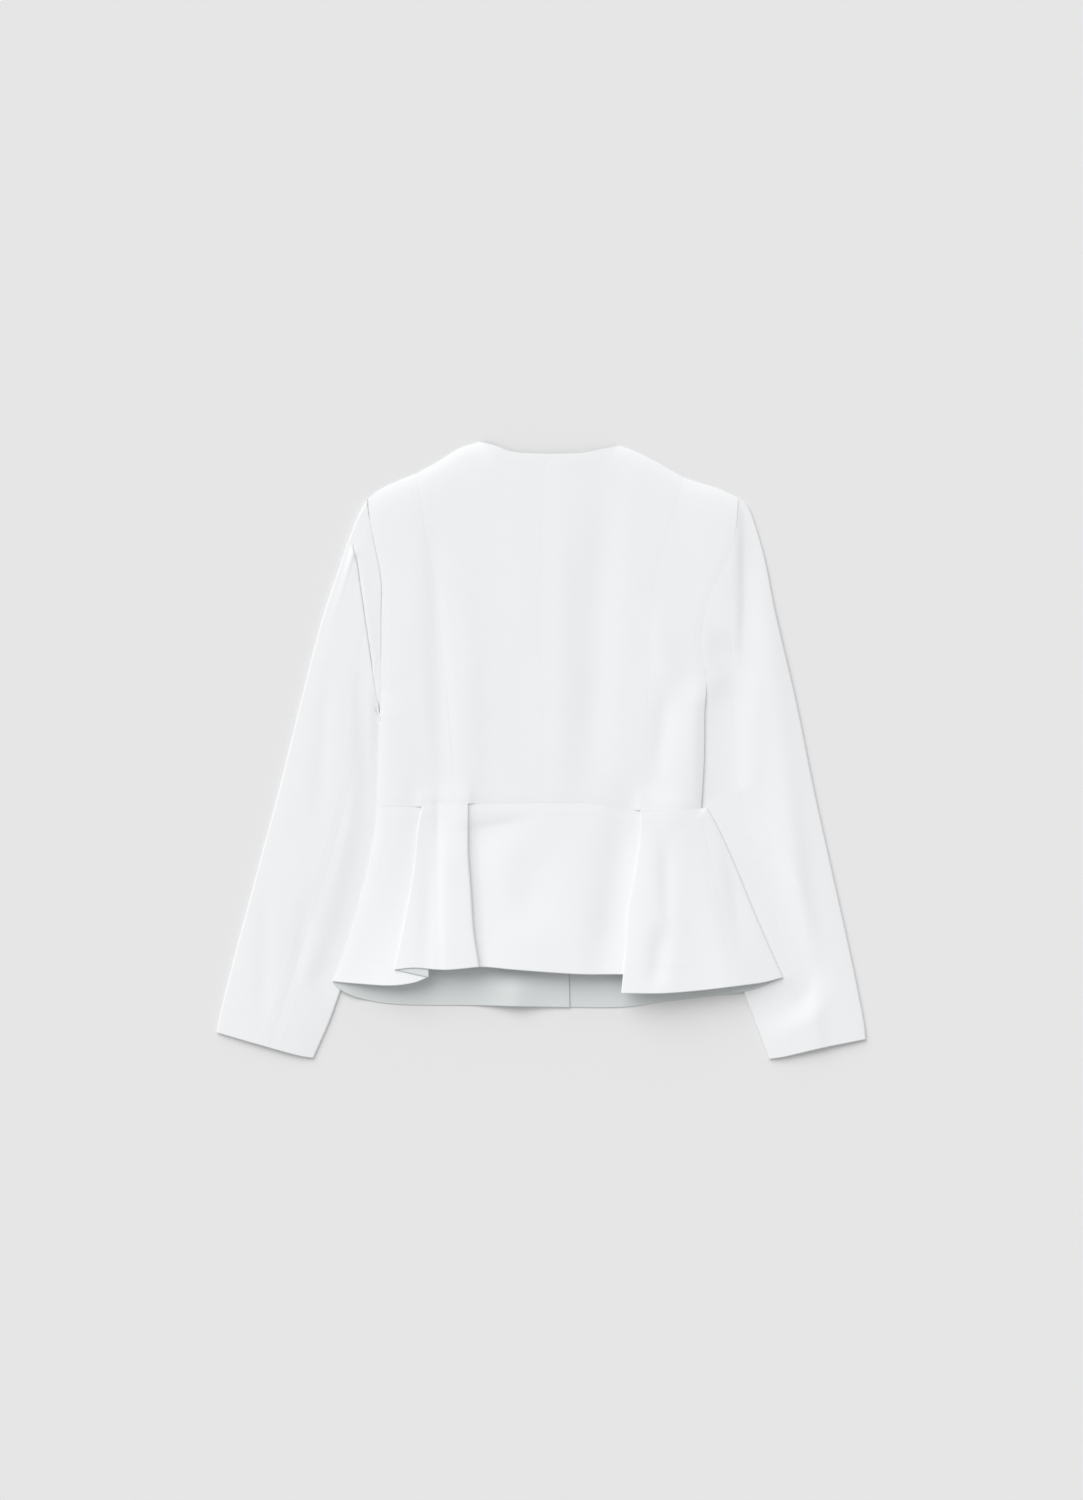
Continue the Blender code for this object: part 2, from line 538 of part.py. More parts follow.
def sleeve(name, side, armhole, armhole_front, cuff, arm_fold, rows):
    """The top and under sleeve, as two pieces that meet at a seam on each layer."""
    outer, inner = OUTER_LINES[side], INNER_LINES[side]
    outer_run, inner_run = run_of(outer)[-1], run_of(inner)[-1]
    back = smooth(armhole)[::-1]
    front = smooth(armhole_front)[::-1]
    cuff = smooth(cuff)
    end = ARMHOLE_GAP
    lower_end = 1 - end / outer_run
    if arm_fold is None:
        outer_at = spread(rows, end / outer_run, lower_end, crowd=0.3)
        inner_at = end / inner_run + (1 - end / inner_run) * outer_at**INNER_PACE
    else:
        fold = smooth(arm_fold)
        meets_outer = np.argmin(np.hypot(*(outer - fold[-1]).T))
        meets_inner = np.argmin(np.hypot(*(inner - fold[0]).T))
        outer_fold = run_of(outer)[meets_outer] / outer_run
        inner_fold = run_of(inner)[meets_inner] / inner_run
        half = tuck_path(0)[:, 0]
        outer_at = np.concatenate([
            np.linspace(end / outer_run, outer_fold - half[-1] / 2 / outer_run, 5)[:-1],
            outer_fold + (half - half[-1] / 2) / outer_run,
            np.linspace(outer_fold + half[-1] / 2 / outer_run, lower_end, rows)[1:],
        ])
        past_tuck = inner_fold + half[-1] / 2 / inner_run
        inner_at = np.concatenate([
            np.linspace(end / inner_run, inner_fold - half[-1] / 2 / inner_run, 5)[:-1],
            inner_fold + (half - half[-1] / 2) / inner_run,
            past_tuck + (1 - past_tuck) * np.linspace(0, 1, rows)[1:] ** INNER_PACE,
        ])
    left, right = at(inner, inner_at), at(outer, outer_at)
    width = np.hypot(*(right - left).T)

    def layer(shares, armhole_line):
        return rows_between(armhole_line, cuff, left, right, outer_at, shares)

    def upper(shares):
        """The upper layer with its tuck, if it has one."""
        flat = layer(shares, back)
        grid = raised(flat, lambda x, y: sleeve_height(side, x, y))
        if arm_fold is None:
            return grid
        first, last = 4, 4 + len(half) - 1
        for column in range(shares.shape[1]):
            share = shares[first, column]
            amount = float(step((share - 0.1) / 0.16) * step((1 - share) / 0.22))
            path = tuck_path(amount)
            edge = at(fold, share)
            ahead = at(fold, min(share + 0.02, 1)) - at(fold, max(share - 0.02, 0))
            along = flat[last, column] - flat[first, column]
            away = amount * np.array([-ahead[1], ahead[0]]) / np.linalg.norm(ahead)
            away += (1 - amount) * along / np.linalg.norm(along)
            away /= np.linalg.norm(away)
            begin = edge + away * (LAYER / 2 * amount - path[-1, 0] * (0.5 + 0.5 * amount))
            base = sleeve_height(side, *begin)
            rise = path[-1, 1]
            shift = begin - grid[first, column, :2]
            for row in range(first):
                grid[row, column, :2] += shift * (row / first)
            low = FLOOR + LAYER + (base - FLOOR - LAYER) * (1 - 0.85 * amount)
            for row in range(1, first + 1):
                grid[row, column, 2] += (low - grid[row, column, 2]) * min(1, row / (first - 1))
            for row in range(first, last + 1):
                grid[row, column, :2] = begin + away * path[row - first, 0]
                grid[row, column, 2] = low + path[row - first, 1]
            shift = grid[last, column, :2] - flat[last, column]
            for row in range(last + 1, len(grid)):
                fade = math.exp(-(((row - last) / 3.0) ** 2))
                grid[row, column, :2] += shift * fade
                settled = grid[row, column, 2]
                bare = float(step(covered(*grid[row, column, :2]) / 12))
                grid[row, column, 2] = settled + (max(low + rise, settled) - settled) * fade * bare
        return grid

    def lower(shares):
        flat = layer(shares, front)
        return np.dstack([flat, np.full(flat.shape[:2], FLOOR)])

    def piece(piece_name, rim, sign, count_top, count_bottom, colour):
        """From the seam on the upper layer, round the outer or inner edge, to the seam below."""
        edge_height = sleeve_height(side, rim[:, 0], rim[:, 1])
        radius = (edge_height - FLOOR) / 2
        turn_share = 1 - radius / width if sign > 0 else radius / width
        seam_gap = GAP / 2 / width * sign
        seam_share = ARM_SEAM_TOP + ARM_SEAM_SHOULDER * np.exp(-outer_at / 0.15) + seam_gap
        f = np.linspace(0, 1, count_top)[None, :]
        top_shares = seam_share[:, None] * (1 - f) + turn_share[:, None] * f
        f = np.linspace(0, 1, count_bottom)[None, :]
        low_shares = turn_share[:, None] * (1 - f) + (ARM_SEAM_BOTTOM + seam_gap)[:, None] * f
        top, bottom = upper(top_shares), lower(low_shares)
        bottom[:, 0, :2] = top[:, -1, :2]
        rounds = []
        for row in range(len(top)):
            heading = top[row, -1, :2] - top[row, -2, :2]
            heading /= np.linalg.norm(heading)
            rounds.append(turn(top[row, -1, :2], heading, top[row, -1, 2], FLOOR, 4))
        cloth(piece_name, np.concatenate([top, np.array(rounds), bottom], axis=1), colour)

    piece(name + "_top", right, 1, 9, 6, WHITE)
    piece(name + "_under", left, -1, 8, 4, COOL_WHITE)


sleeve("sleeve_left", 0, ARMHOLE_LEFT, ARMHOLE_FRONT_LEFT, CUFF_LEFT, ARM_FOLD_LEFT, 18)
sleeve("sleeve_right", 1, ARMHOLE_RIGHT, ARMHOLE_FRONT_RIGHT, CUFF_RIGHT, None, 22)
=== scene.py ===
import math

import bpy
import numpy as np
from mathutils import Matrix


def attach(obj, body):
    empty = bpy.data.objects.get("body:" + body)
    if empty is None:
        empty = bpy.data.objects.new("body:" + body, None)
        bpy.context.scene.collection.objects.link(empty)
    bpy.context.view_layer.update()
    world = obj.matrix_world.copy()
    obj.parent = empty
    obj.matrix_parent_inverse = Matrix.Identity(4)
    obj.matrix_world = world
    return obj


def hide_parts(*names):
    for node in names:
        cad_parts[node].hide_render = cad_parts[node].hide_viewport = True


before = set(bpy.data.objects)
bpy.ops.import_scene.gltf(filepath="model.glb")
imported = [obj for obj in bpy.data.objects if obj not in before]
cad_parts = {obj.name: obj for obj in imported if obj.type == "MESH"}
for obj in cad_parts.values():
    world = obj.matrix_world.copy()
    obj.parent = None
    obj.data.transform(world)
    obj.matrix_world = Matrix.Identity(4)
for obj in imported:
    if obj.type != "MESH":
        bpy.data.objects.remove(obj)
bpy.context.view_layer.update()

# Back, centre left panel
# The panel beside the centre back seam, from neck and shoulder to the waist. It is a matte white crepe
# with a fine pebbled grain. Its seams are pressed, so each shows as a shallow groove, with no stitching.

# Sizes are in millimetres and become metres when a mesh is made.
MM = 0.001
WALL = 1.2
FLOOR = WALL / 2
# The height from one layer's middle to the next, laid and folded on each other.
LAYER = 1.5
STACKED = 1.35
SEAM_GAP = 0.01
# The spacing of a piece's points, and how far from a rim the closer ones beside it lie.
PITCH = 2.2
RIM_STEPS = (0.06, 0.22, 0.5, 0.95, 1.6)

TIP_LEFT = (-187, 268)
TIP_RIGHT = (210, 270)
NECK_LEFT = (-66, 330)
NECK_RIGHT = (81, 326)
NECK_CENTRE = (4, 317)
PRINCESS_LEFT = (-134, 296)
PRINCESS_RIGHT = (151, 292)
ARMPIT_LEFT = (-172, 62)
ARMPIT_RIGHT = (175.6, 79)
WAIST_LEFT = (-176, -60)
WAIST_RIGHT = (170, -62)
PEPLUM_TIP_LEFT = (-224, -247)
PEPLUM_TIP_RIGHT = (257, -243)

# Seams and edges of the bodice, each as x and y, from the top down or from left to right.
SHOULDER_LEFT_OUTER = (TIP_LEFT, (-173, 279), (-152, 289), PRINCESS_LEFT)
SHOULDER_LEFT_INNER = (PRINCESS_LEFT, (-109, 310), (-88, 323), NECK_LEFT)
NECK_BACK_LEFT = (NECK_LEFT, (-50, 326), (-30, 319), NECK_CENTRE)
NECK_BACK_RIGHT = (NECK_CENTRE, (41, 318), (62, 322), NECK_RIGHT)
SHOULDER_RIGHT_INNER = (NECK_RIGHT, (94, 322), (116, 312), PRINCESS_RIGHT)
SHOULDER_RIGHT_OUTER = (PRINCESS_RIGHT, (169, 286), (191, 279), TIP_RIGHT)
CENTRE_BACK = (NECK_CENTRE, (0, 265), (-1, 200), (-1, 120), (1, 30), (2, -56))
PRINCESS_SEAM_LEFT = (
    PRINCESS_LEFT, (-127, 247), (-119, 200), (-111, 151), (-105, 95), (-99, 30), (-92, -57),
)
PRINCESS_SEAM_RIGHT = (
    PRINCESS_RIGHT, (137, 245), (126, 209), (118, 172), (115, 118), (112, 40), (108, -64),
)
ARMHOLE_LEFT = (TIP_LEFT, (-184, 245), (-178, 215), (-172, 182), (-172, 145), (-172, 105), ARMPIT_LEFT)
ARMHOLE_RIGHT = (TIP_RIGHT, (207, 236), (198, 203), (182, 172), (174, 145), (171.5, 112), ARMPIT_RIGHT)
SIDE_LEFT = (ARMPIT_LEFT, (-174, 26), (-175, -20), WAIST_LEFT)
SIDE_RIGHT = (ARMPIT_RIGHT, (175.4, 62), (173.6, 38), (173, -10), WAIST_RIGHT)
WAIST_TABLE = (
    WAIST_LEFT, (-127, -60), (-92, -57), (2, -56), (49, -56), (84, -63), (108, -64), (148, -64),
    WAIST_RIGHT,
)

# Lines that the heights of the cloth follow.
PEPLUM_EDGE_LEFT = (WAIST_LEFT, (-179, -90), (-191, -146), (-203, -190), (-216, -230), PEPLUM_TIP_LEFT)
PEPLUM_EDGE_RIGHT = ((176, -62), (188, -84), (207, -126), (224, -168), (240, -205), PEPLUM_TIP_RIGHT)
HEM_FRONT_LEFT = (PEPLUM_TIP_LEFT, (-214, -257), (-192, -266), (-150, -272), (-60, -273), (30, -275))
HEM_FRONT_RIGHT = ((-14, -274), (81, -275), (130, -269), (180, -263), (225, -256), PEPLUM_TIP_RIGHT)
OUTER_LEFT = (
    TIP_LEFT, (-198, 251), (-208, 230), (-217, 204), (-235, 144), (-257, 54), (-279, -36), (-303, -126),
    (-327, -216), (-343, -280), (-347, -302),
)
INNER_LEFT = (
    ARMPIT_LEFT, (-172.4, 46), (-170.5, 28), (-164, 6), (-156, -30), (-157, -74), (-170, -125),
    (-192, -190), (-216, -257), (-228, -290), (-245, -329),
)
OUTER_RIGHT = (
    TIP_RIGHT, (219, 262), (226, 246), (238, 204), (250, 144), (271, 54), (290, -40), (309, -126),
    (329, -216), (343, -285), (346, -309),
)
INNER_RIGHT = (
    ARMPIT_RIGHT, (174.6, 65), (172, 48), (165, 18), (157, -18), (155, -60), (166, -107), (188, -171),
    (216, -256), (227, -285), (244, -330),
)

# Where a value has two numbers, they are for the left and the right.
BODY_HEIGHT = 6.6
SHOULDER_SOFTNESS = 10
SIDE_SOFTNESS = (10, 7)
ARMHOLE_SINK = (2.4, 0.7)
ARMHOLE_SOFTNESS = 16

# The body's rise over the sleeves, which begins this far inside a sleeve's inner line.
SLEEVE_LIFT = (3.2, 4.4)
LIFT_START = 40
LIFT_RAMP = 38
ARMPIT_MARGIN = 4
ARMPIT_BLEND = 35

# From and to which x the left front lies on the right one under the back.
LAP_START = -46
LAP_END = 58
LAP_RAMP = 22

# The back hem stands clear of the ground, and less so near the sides.
CENTRE_WAIST = -57
PEPLUM_DEPTH = 190
HEM_RISE = 13.5
RISE_POWER = 1.2
RISE_MARGIN = 48

# The peplum lies folded at the waist between these x, and the bodice rises this softly before and after.
FOLD_SPANS = ((-128, -121, 6, 12), (-102, -79, 12, 6), (106, 138, 6, 20))
FOLD_RISE = 1.6
FOLD_RISE_LENGTH = 18

# Soft troughs (depth below 0) and ridges: start x and y, end x and y, half width and depth. One more
# number is the half width on the left, looking from the start to the end.
BACK_FOLDS = (
    (-116, 215, -106, -40, 11, -1.9),
    (-84, 190, -74, -40, 14, 1.0),
    (66, 255, 52, -30, 20, -2.4),
    (22, 240, 20, -40, 14, 0.9),
    (122, 140, 140, 60, 13, 1.2),
    (132, 60, 124, -20, 10, -1.2),
    (163, 60, 162, -50, 22, 1.3, 8),
    (-112, -80, -122, -225, 12, -2.2),
    (-70, -60, -58, -240, 9, -2.6, 26),
    (198, -75, 212, -190, 9, -1.6, 20),
    (-84, -88, -24, -78, 26, -1.8, 9),
    (-10, -105, -14, -180, 22, -2.2),
    (88, -72, 68, -240, 22, -4.6),
    (132, -105, 134, -185, 9, -1.9),
    (128, -195, 122, -248, 11, -2.6),
)


def smooth(points, parts=14):
    """A soft curve through a few points, as a dense line."""
    known = np.array(points, float)
    known = np.vstack([2 * known[0] - known[1], known, 2 * known[-1] - known[-2]])
    dense = []
    for before, start, end, after in zip(known, known[1:], known[2:], known[3:]):
        for part in range(parts):
            f = part / parts
            dense.append(
                start
                + 0.5 * f * (end - before)
                + f**2 * (before - 2.5 * start + 2 * end - 0.5 * after)
                + f**3 * (1.5 * (start - end) + 0.5 * (after - before))
            )
    dense.append(known[-2])
    return np.array(dense)


def joined(*lines):
    """One dense line from several that meet end to end."""
    return np.vstack([smooth(line) for line in lines])


def run_of(line):
    """How far along a dense line each of its points is."""
    return np.concatenate([[0], np.cumsum(np.hypot(*np.diff(line, axis=0).T))])


def at(line, share):
    """The points at these shares of a dense line's length."""
    run = run_of(line)
    place = np.asarray(share) * run[-1]
    return np.stack([np.interp(place, run, line[:, 0]), np.interp(place, run, line[:, 1])], axis=-1)


def step(value):
    """A soft step from 0 to 1."""
    value = np.clip(value, 0, 1)
    return value * value * (3 - 2 * value)


def bell(value, half_width):
    """1 at 0, falling off softly on both sides."""
    return np.exp(-((value / half_width) ** 2))


def distance(line, x, y):
    """How far each point is from a dense line."""
    shape = np.shape(x)
    x, y = np.ravel(x), np.ravel(y)
    start, along = line[:-1], np.diff(line, axis=0)
    length = np.maximum((along**2).sum(axis=1), 1e-9)
    found = []
    for first in range(0, len(x), 4000):
        dx = x[first:first + 4000, None] - start[:, 0]
        dy = y[first:first + 4000, None] - start[:, 1]
        f = np.clip((dx * along[:, 0] + dy * along[:, 1]) / length, 0, 1)
        gap = np.hypot(dx - f * along[:, 0], dy - f * along[:, 1])
        found.append(gap.min(axis=1))
    return np.concatenate(found).reshape(shape)


def folds(table, x, y):
    """The soft troughs and ridges of a table, added up."""
    total = np.zeros(np.shape(x))
    for x0, y0, x1, y1, width, depth, *steep in table:
        dx, dy = x1 - x0, y1 - y0
        length = math.hypot(dx, dy)
        along = ((x - x0) * dx + (y - y0) * dy) / length
        across = (dx * (y - y0) - dy * (x - x0)) / length
        end = np.clip(np.minimum(along, length - along) / (0.35 * length), -1, 1)
        width = np.where(across > 0, *steep, width) if steep else width
        total += depth * bell(across, width) * step(0.5 + 0.5 * end)
    return total


def x_on(line, y):
    """The x of a line that runs down, at these y."""
    down = line[::-1]
    return np.interp(y, down[:, 1], down[:, 0])


FREE_EDGE_LEFT = joined(SIDE_LEFT, PEPLUM_EDGE_LEFT)
FREE_EDGE_RIGHT = joined(SIDE_RIGHT, PEPLUM_EDGE_RIGHT)
FRONT_HEM = joined(HEM_FRONT_LEFT, HEM_FRONT_RIGHT[1:])
SHOULDERS = (
    joined(SHOULDER_LEFT_OUTER, SHOULDER_LEFT_INNER),
    joined(SHOULDER_RIGHT_INNER, SHOULDER_RIGHT_OUTER),
)
INNER_LINES = (smooth(INNER_LEFT), smooth(INNER_RIGHT))
ARMHOLES = (smooth(ARMHOLE_LEFT), smooth(ARMHOLE_RIGHT))
OUTER_LINES = (smooth(OUTER_LEFT), smooth(OUTER_RIGHT))
BODY_OUTLINE = np.vstack([FREE_EDGE_LEFT, FRONT_HEM, FREE_EDGE_RIGHT[::-1]])


def lift(x, y):
    """How far the body is raised where a sleeve passes under it."""
    left = step((x_on(INNER_LINES[0], y) + LIFT_START - x) / LIFT_RAMP)
    left *= step((ARMPIT_LEFT[1] + ARMPIT_MARGIN - y) / ARMPIT_BLEND)
    right = step((x - x_on(INNER_LINES[1], y) + LIFT_START) / LIFT_RAMP)
    right *= step((ARMPIT_RIGHT[1] + ARMPIT_MARGIN - y) / ARMPIT_BLEND)
    return np.maximum(SLEEVE_LIFT[0] * left, SLEEVE_LIFT[1] * right)


def lapped(x):
    """The left front's rise on to the right front."""
    return LAYER * step((x - LAP_START) / LAP_RAMP)


def under_back(x, y):
    """The highest front cloth under the back."""
    return FLOOR + lift(x, y) + lapped(x) * step((LAP_END - x) / LAP_RAMP)


# The heights of the cloth's slow and quick ripples.
RIPPLES = (0.20, 0.09)


def waviness(x, y):
    """The slight unevenness that handled cloth keeps, in ripples along bent lines."""
    slow = np.sin(x / 17 + 0.9 * np.sin(y / 41)) * np.sin(y / 53 + 0.7 * np.sin(x / 37) + 1.3)
    quick = np.sin(x / 8.3 + y / 23 + 1.4 * np.sin(y / 31)) * np.sin(y / 19 - x / 29 + 0.5)
    return RIPPLES[0] * slow + RIPPLES[1] * quick


def back_height(x, y):
    """The middle of the back's cloth, bodice and peplum."""
    edges = (distance(FREE_EDGE_LEFT, x, y), distance(FREE_EDGE_RIGHT, x, y))
    side = np.minimum(*edges)
    shoulder = np.minimum(distance(SHOULDERS[0], x, y), distance(SHOULDERS[1], x, y))
    inside = 1 - np.exp(-shoulder / SHOULDER_SOFTNESS)
    for edge, softness, armpit in zip(edges, SIDE_SOFTNESS, (ARMPIT_LEFT, ARMPIT_RIGHT)):
        inside = inside * (1 - np.exp(-edge / softness) * step((armpit[1] - y) / ARMPIT_BLEND))
    below_waist = np.maximum((CENTRE_WAIST - y) / PEPLUM_DEPTH, 0)
    rise = HEM_RISE * below_waist**RISE_POWER * (1 - bell(side, RISE_MARGIN))
    lowest = under_back(x, y) + LAYER
    free = BODY_HEIGHT + 0.5 * lift(x, y) + rise + folds(BACK_FOLDS, x, y) + waviness(x, y)
    for line, sink in zip(ARMHOLES, ARMHOLE_SINK):
        free -= sink * np.exp(-distance(line, x, y) / ARMHOLE_SOFTNESS)
    return np.maximum(lowest, lowest * (1 - inside) + free * inside)


def near(value, low, high, softness):
    """1 from low to high, fading outside over the softness."""
    outside = np.maximum(low - value, 0) + np.maximum(value - high, 0)
    return bell(outside, softness)


def bodice_height(x, y):
    """The back above the waist, where its lower edge lies over the layers of the folds."""
    spans = [near(x, low, high, np.where(x < low, *softness)) for low, high, *softness in FOLD_SPANS]
    on_folds = np.maximum.reduce(spans)
    waist = np.interp(x, *np.array(WAIST_TABLE, float).T)
    return back_height(x, y) + FOLD_RISE * on_folds * bell(y - waist, FOLD_RISE_LENGTH)


def shares_for(length, pitch=PITCH, stops=(), rims=(True, True)):
    """Shares of a length about a pitch apart, through the stops, and closer beside each rim."""
    low, high = SEAM_GAP / length, 1 - SEAM_GAP / length
    steps = np.array(RIM_STEPS) / length
    count = max(4, int(length / pitch))
    first = low + steps[-1] if rims[0] else low
    last = high - steps[-1] if rims[1] else high
    inside = np.linspace(first, last, count)
    for stop in stops:
        inside[1 + np.argmin(abs(inside[1:-1] - stop))] = stop
    start = [low, *(low + steps[:-1])] if rims[0] else []
    end = [*(high - steps[-2::-1]), high] if rims[1] else []
    return np.concatenate([start, inside, end])


def rows_between(top, bottom, left, right, blend, shares):
    """Points inside two lines and the side points of each row, as rows of x and y."""
    blend = blend[:, None, None]
    shares = shares[..., None] if shares.ndim == 2 else shares[None, :, None]
    across = (1 - shares) * left[:, None] + shares * right[:, None]
    top_bow = at(top, shares[..., 0]) - (1 - shares) * top[0] - shares * top[-1]
    bottom_bow = at(bottom, shares[..., 0]) - (1 - shares) * bottom[0] - shares * bottom[-1]
    return across + (1 - blend) * top_bow + blend * bottom_bow


def raised(flat, height):
    """A flat grid with the height of each point."""
    return np.dstack([flat, height(flat[..., 0], flat[..., 1])])


# Painted shade: the cloth's colour is darkened towards a turned edge, to this share of its lightness over
# this width. A seam gets the painted shade as if it lay this far from an edge, and a faint seam up to this
# much further.
PAINTED_EDGE_SHADE = 0.78
PAINTED_EDGE_SHADE_WIDTH = 1.2
SEAM_DISTANCE = 0.82
FAINT_DISTANCE = 1.2


def feed(node, entry, value):
    """Links a socket to one of a node's inputs, or copies a value to it."""
    if isinstance(value, bpy.types.NodeSocket):
        node.id_data.links.new(value, node.inputs[entry])
    else:
        node.inputs[entry].default_value = value


def set_inputs(node, **values):
    """Feeds a node's inputs by name, with _ for a space."""
    for name, value in values.items():
        feed(node, name.replace("_", " "), value)


def add_node(tree, kind, **settings):
    """A new node of a tree, with its properties and its inputs set by name."""
    node = tree.nodes.new(kind)
    for key, value in settings.items():
        if hasattr(node, key):
            setattr(node, key, value)
        else:
            set_inputs(node, **{key: value})
    return node


def new_material(name, **settings):
    """A material, and its shader with these inputs."""
    material = bpy.data.materials.new(name)
    material.use_nodes = True
    shader = material.node_tree.nodes["Principled BSDF"]
    set_inputs(shader, **settings)
    return material, shader


def new_object(name, data):
    """An object in the scene, at the origin."""
    obj = bpy.data.objects.new(name, data)
    bpy.context.scene.collection.objects.link(obj)
    return obj


def crepe(name, colour, shade):
    """White crepe: crossed threads, a pebbled grain, faint slubs, and painted shade in its hollows, edges
    and seams.
    """
    material, shader = new_material(
        name, Metallic=0, Sheen_Weight=0.22, Sheen_Roughness=0.45, Sheen_Tint=(1, 1, 1, 1),
        Specular_IOR_Level=0.25,
    )

    def add(kind, **settings):
        return add_node(material.node_tree, kind, **settings)

    def maths(operation, a, b):
        node = add("ShaderNodeMath", operation=operation)
        feed(node, 0, a)
        feed(node, 1, b)
        return node.outputs[0]

    flat = add("ShaderNodeUVMap", uv_map="cloth").outputs[0]
    place = add("ShaderNodeTexCoord").outputs["Object"]
    threads = []
    for direction in ("X", "Y"):
        wave = add(
            "ShaderNodeTexWave", wave_type="BANDS", bands_direction=direction, Vector=flat,
            Scale=620.0, Distortion=1.4, Detail=1.0, Detail_Scale=0.6,
        )
        threads.append(wave.outputs["Fac"])
    pebbles = add("ShaderNodeTexNoise", Vector=place, Scale=1500.0, Detail=2.0, Roughness=0.6)
    stretch = add("ShaderNodeMapping", Vector=flat, Scale=(900, 60, 1))
    slubs = add("ShaderNodeTexNoise", Vector=stretch.outputs[0], Scale=1.0, Detail=2.0, Roughness=0.5)
    mottle = add("ShaderNodeTexNoise", Vector=place, Scale=14.0, Detail=3.0, Roughness=0.5).outputs["Fac"]

    weave = maths("MULTIPLY", maths("ADD", threads[0], threads[1]), 0.3)
    grain = maths("ADD", weave, maths("MULTIPLY", pebbles.outputs["Fac"], 0.5))
    relief = maths("ADD", grain, maths("MULTIPLY", slubs.outputs["Fac"], 0.25))
    bump = add("ShaderNodeBump", Strength=0.5, Distance=0.00012, Height=relief)

    # Painted shade: the colour is darkened towards turned edges and seams, read from the edge attribute.
    edge = add("ShaderNodeAttribute", attribute_name="edge")
    seam = add(
        "ShaderNodeMapRange", interpolation_type="SMOOTHSTEP", Value=edge.outputs["Fac"],
        From_Max=PAINTED_EDGE_SHADE_WIDTH * MM, To_Min=PAINTED_EDGE_SHADE,
    )
    # Painted shade: the colour is darkened where the weave's relief is low, in the hollows between
    # threads.
    depth = add("ShaderNodeMapRange", Value=grain, From_Min=0.3, From_Max=0.9, To_Min=0.965)
    value = maths("MULTIPLY", seam.outputs[0], depth.outputs[0])
    tint = add("ShaderNodeMix", data_type="RGBA", Factor=mottle, A=(*colour, 1), B=(*shade, 1))
    toned = add("ShaderNodeHueSaturation", Color=tint.outputs["Result"], Value=value)
    rough = add("ShaderNodeMapRange", Value=mottle, To_Min=0.82, To_Max=0.95)
    set_inputs(shader, Base_Color=toned.outputs[0], Roughness=rough.outputs[0], Normal=bump.outputs[0])
    return material


OUTSIDE = crepe("crepe_outside", (0.895, 0.903, 0.915), (0.87, 0.882, 0.90))
# The inside is the same white crepe. Its darker colour is painted shade, standing for the shade under the
# back's hem.
INSIDE_PAINTED_SHADE = crepe("crepe_inside_painted_shade", (0.72, 0.752, 0.75), (0.69, 0.722, 0.72))

# A free edge is rounded over this width, down to this share of the wall.
EDGE_ROUND = 0.9
EDGE_SHARE = 0.25
# Depth and half width of a pressed seam's groove and of the dip round it, then height, place and half
# width of the ridge over its allowance.
GROOVE = (0.13, 1.3)
DIP = (0.12, 6)
ALLOWANCE_RIDGE = (0.09, 10, 2.6)
# Height, spacing and reach of the slight puckers beside a long seam.
PUCKER = (0.04, 9.5, 5)
# How deep a faint seam is pressed, and how soon that blends into a clear one.
FAINT = 0.3
FAINT_BLEND = 3
# The turned-up hem: its depth, and the height and half width of the faint line at its top.
HEM_ALLOWANCE = 30
HEM_RIDGE = (0.06, 2.2)


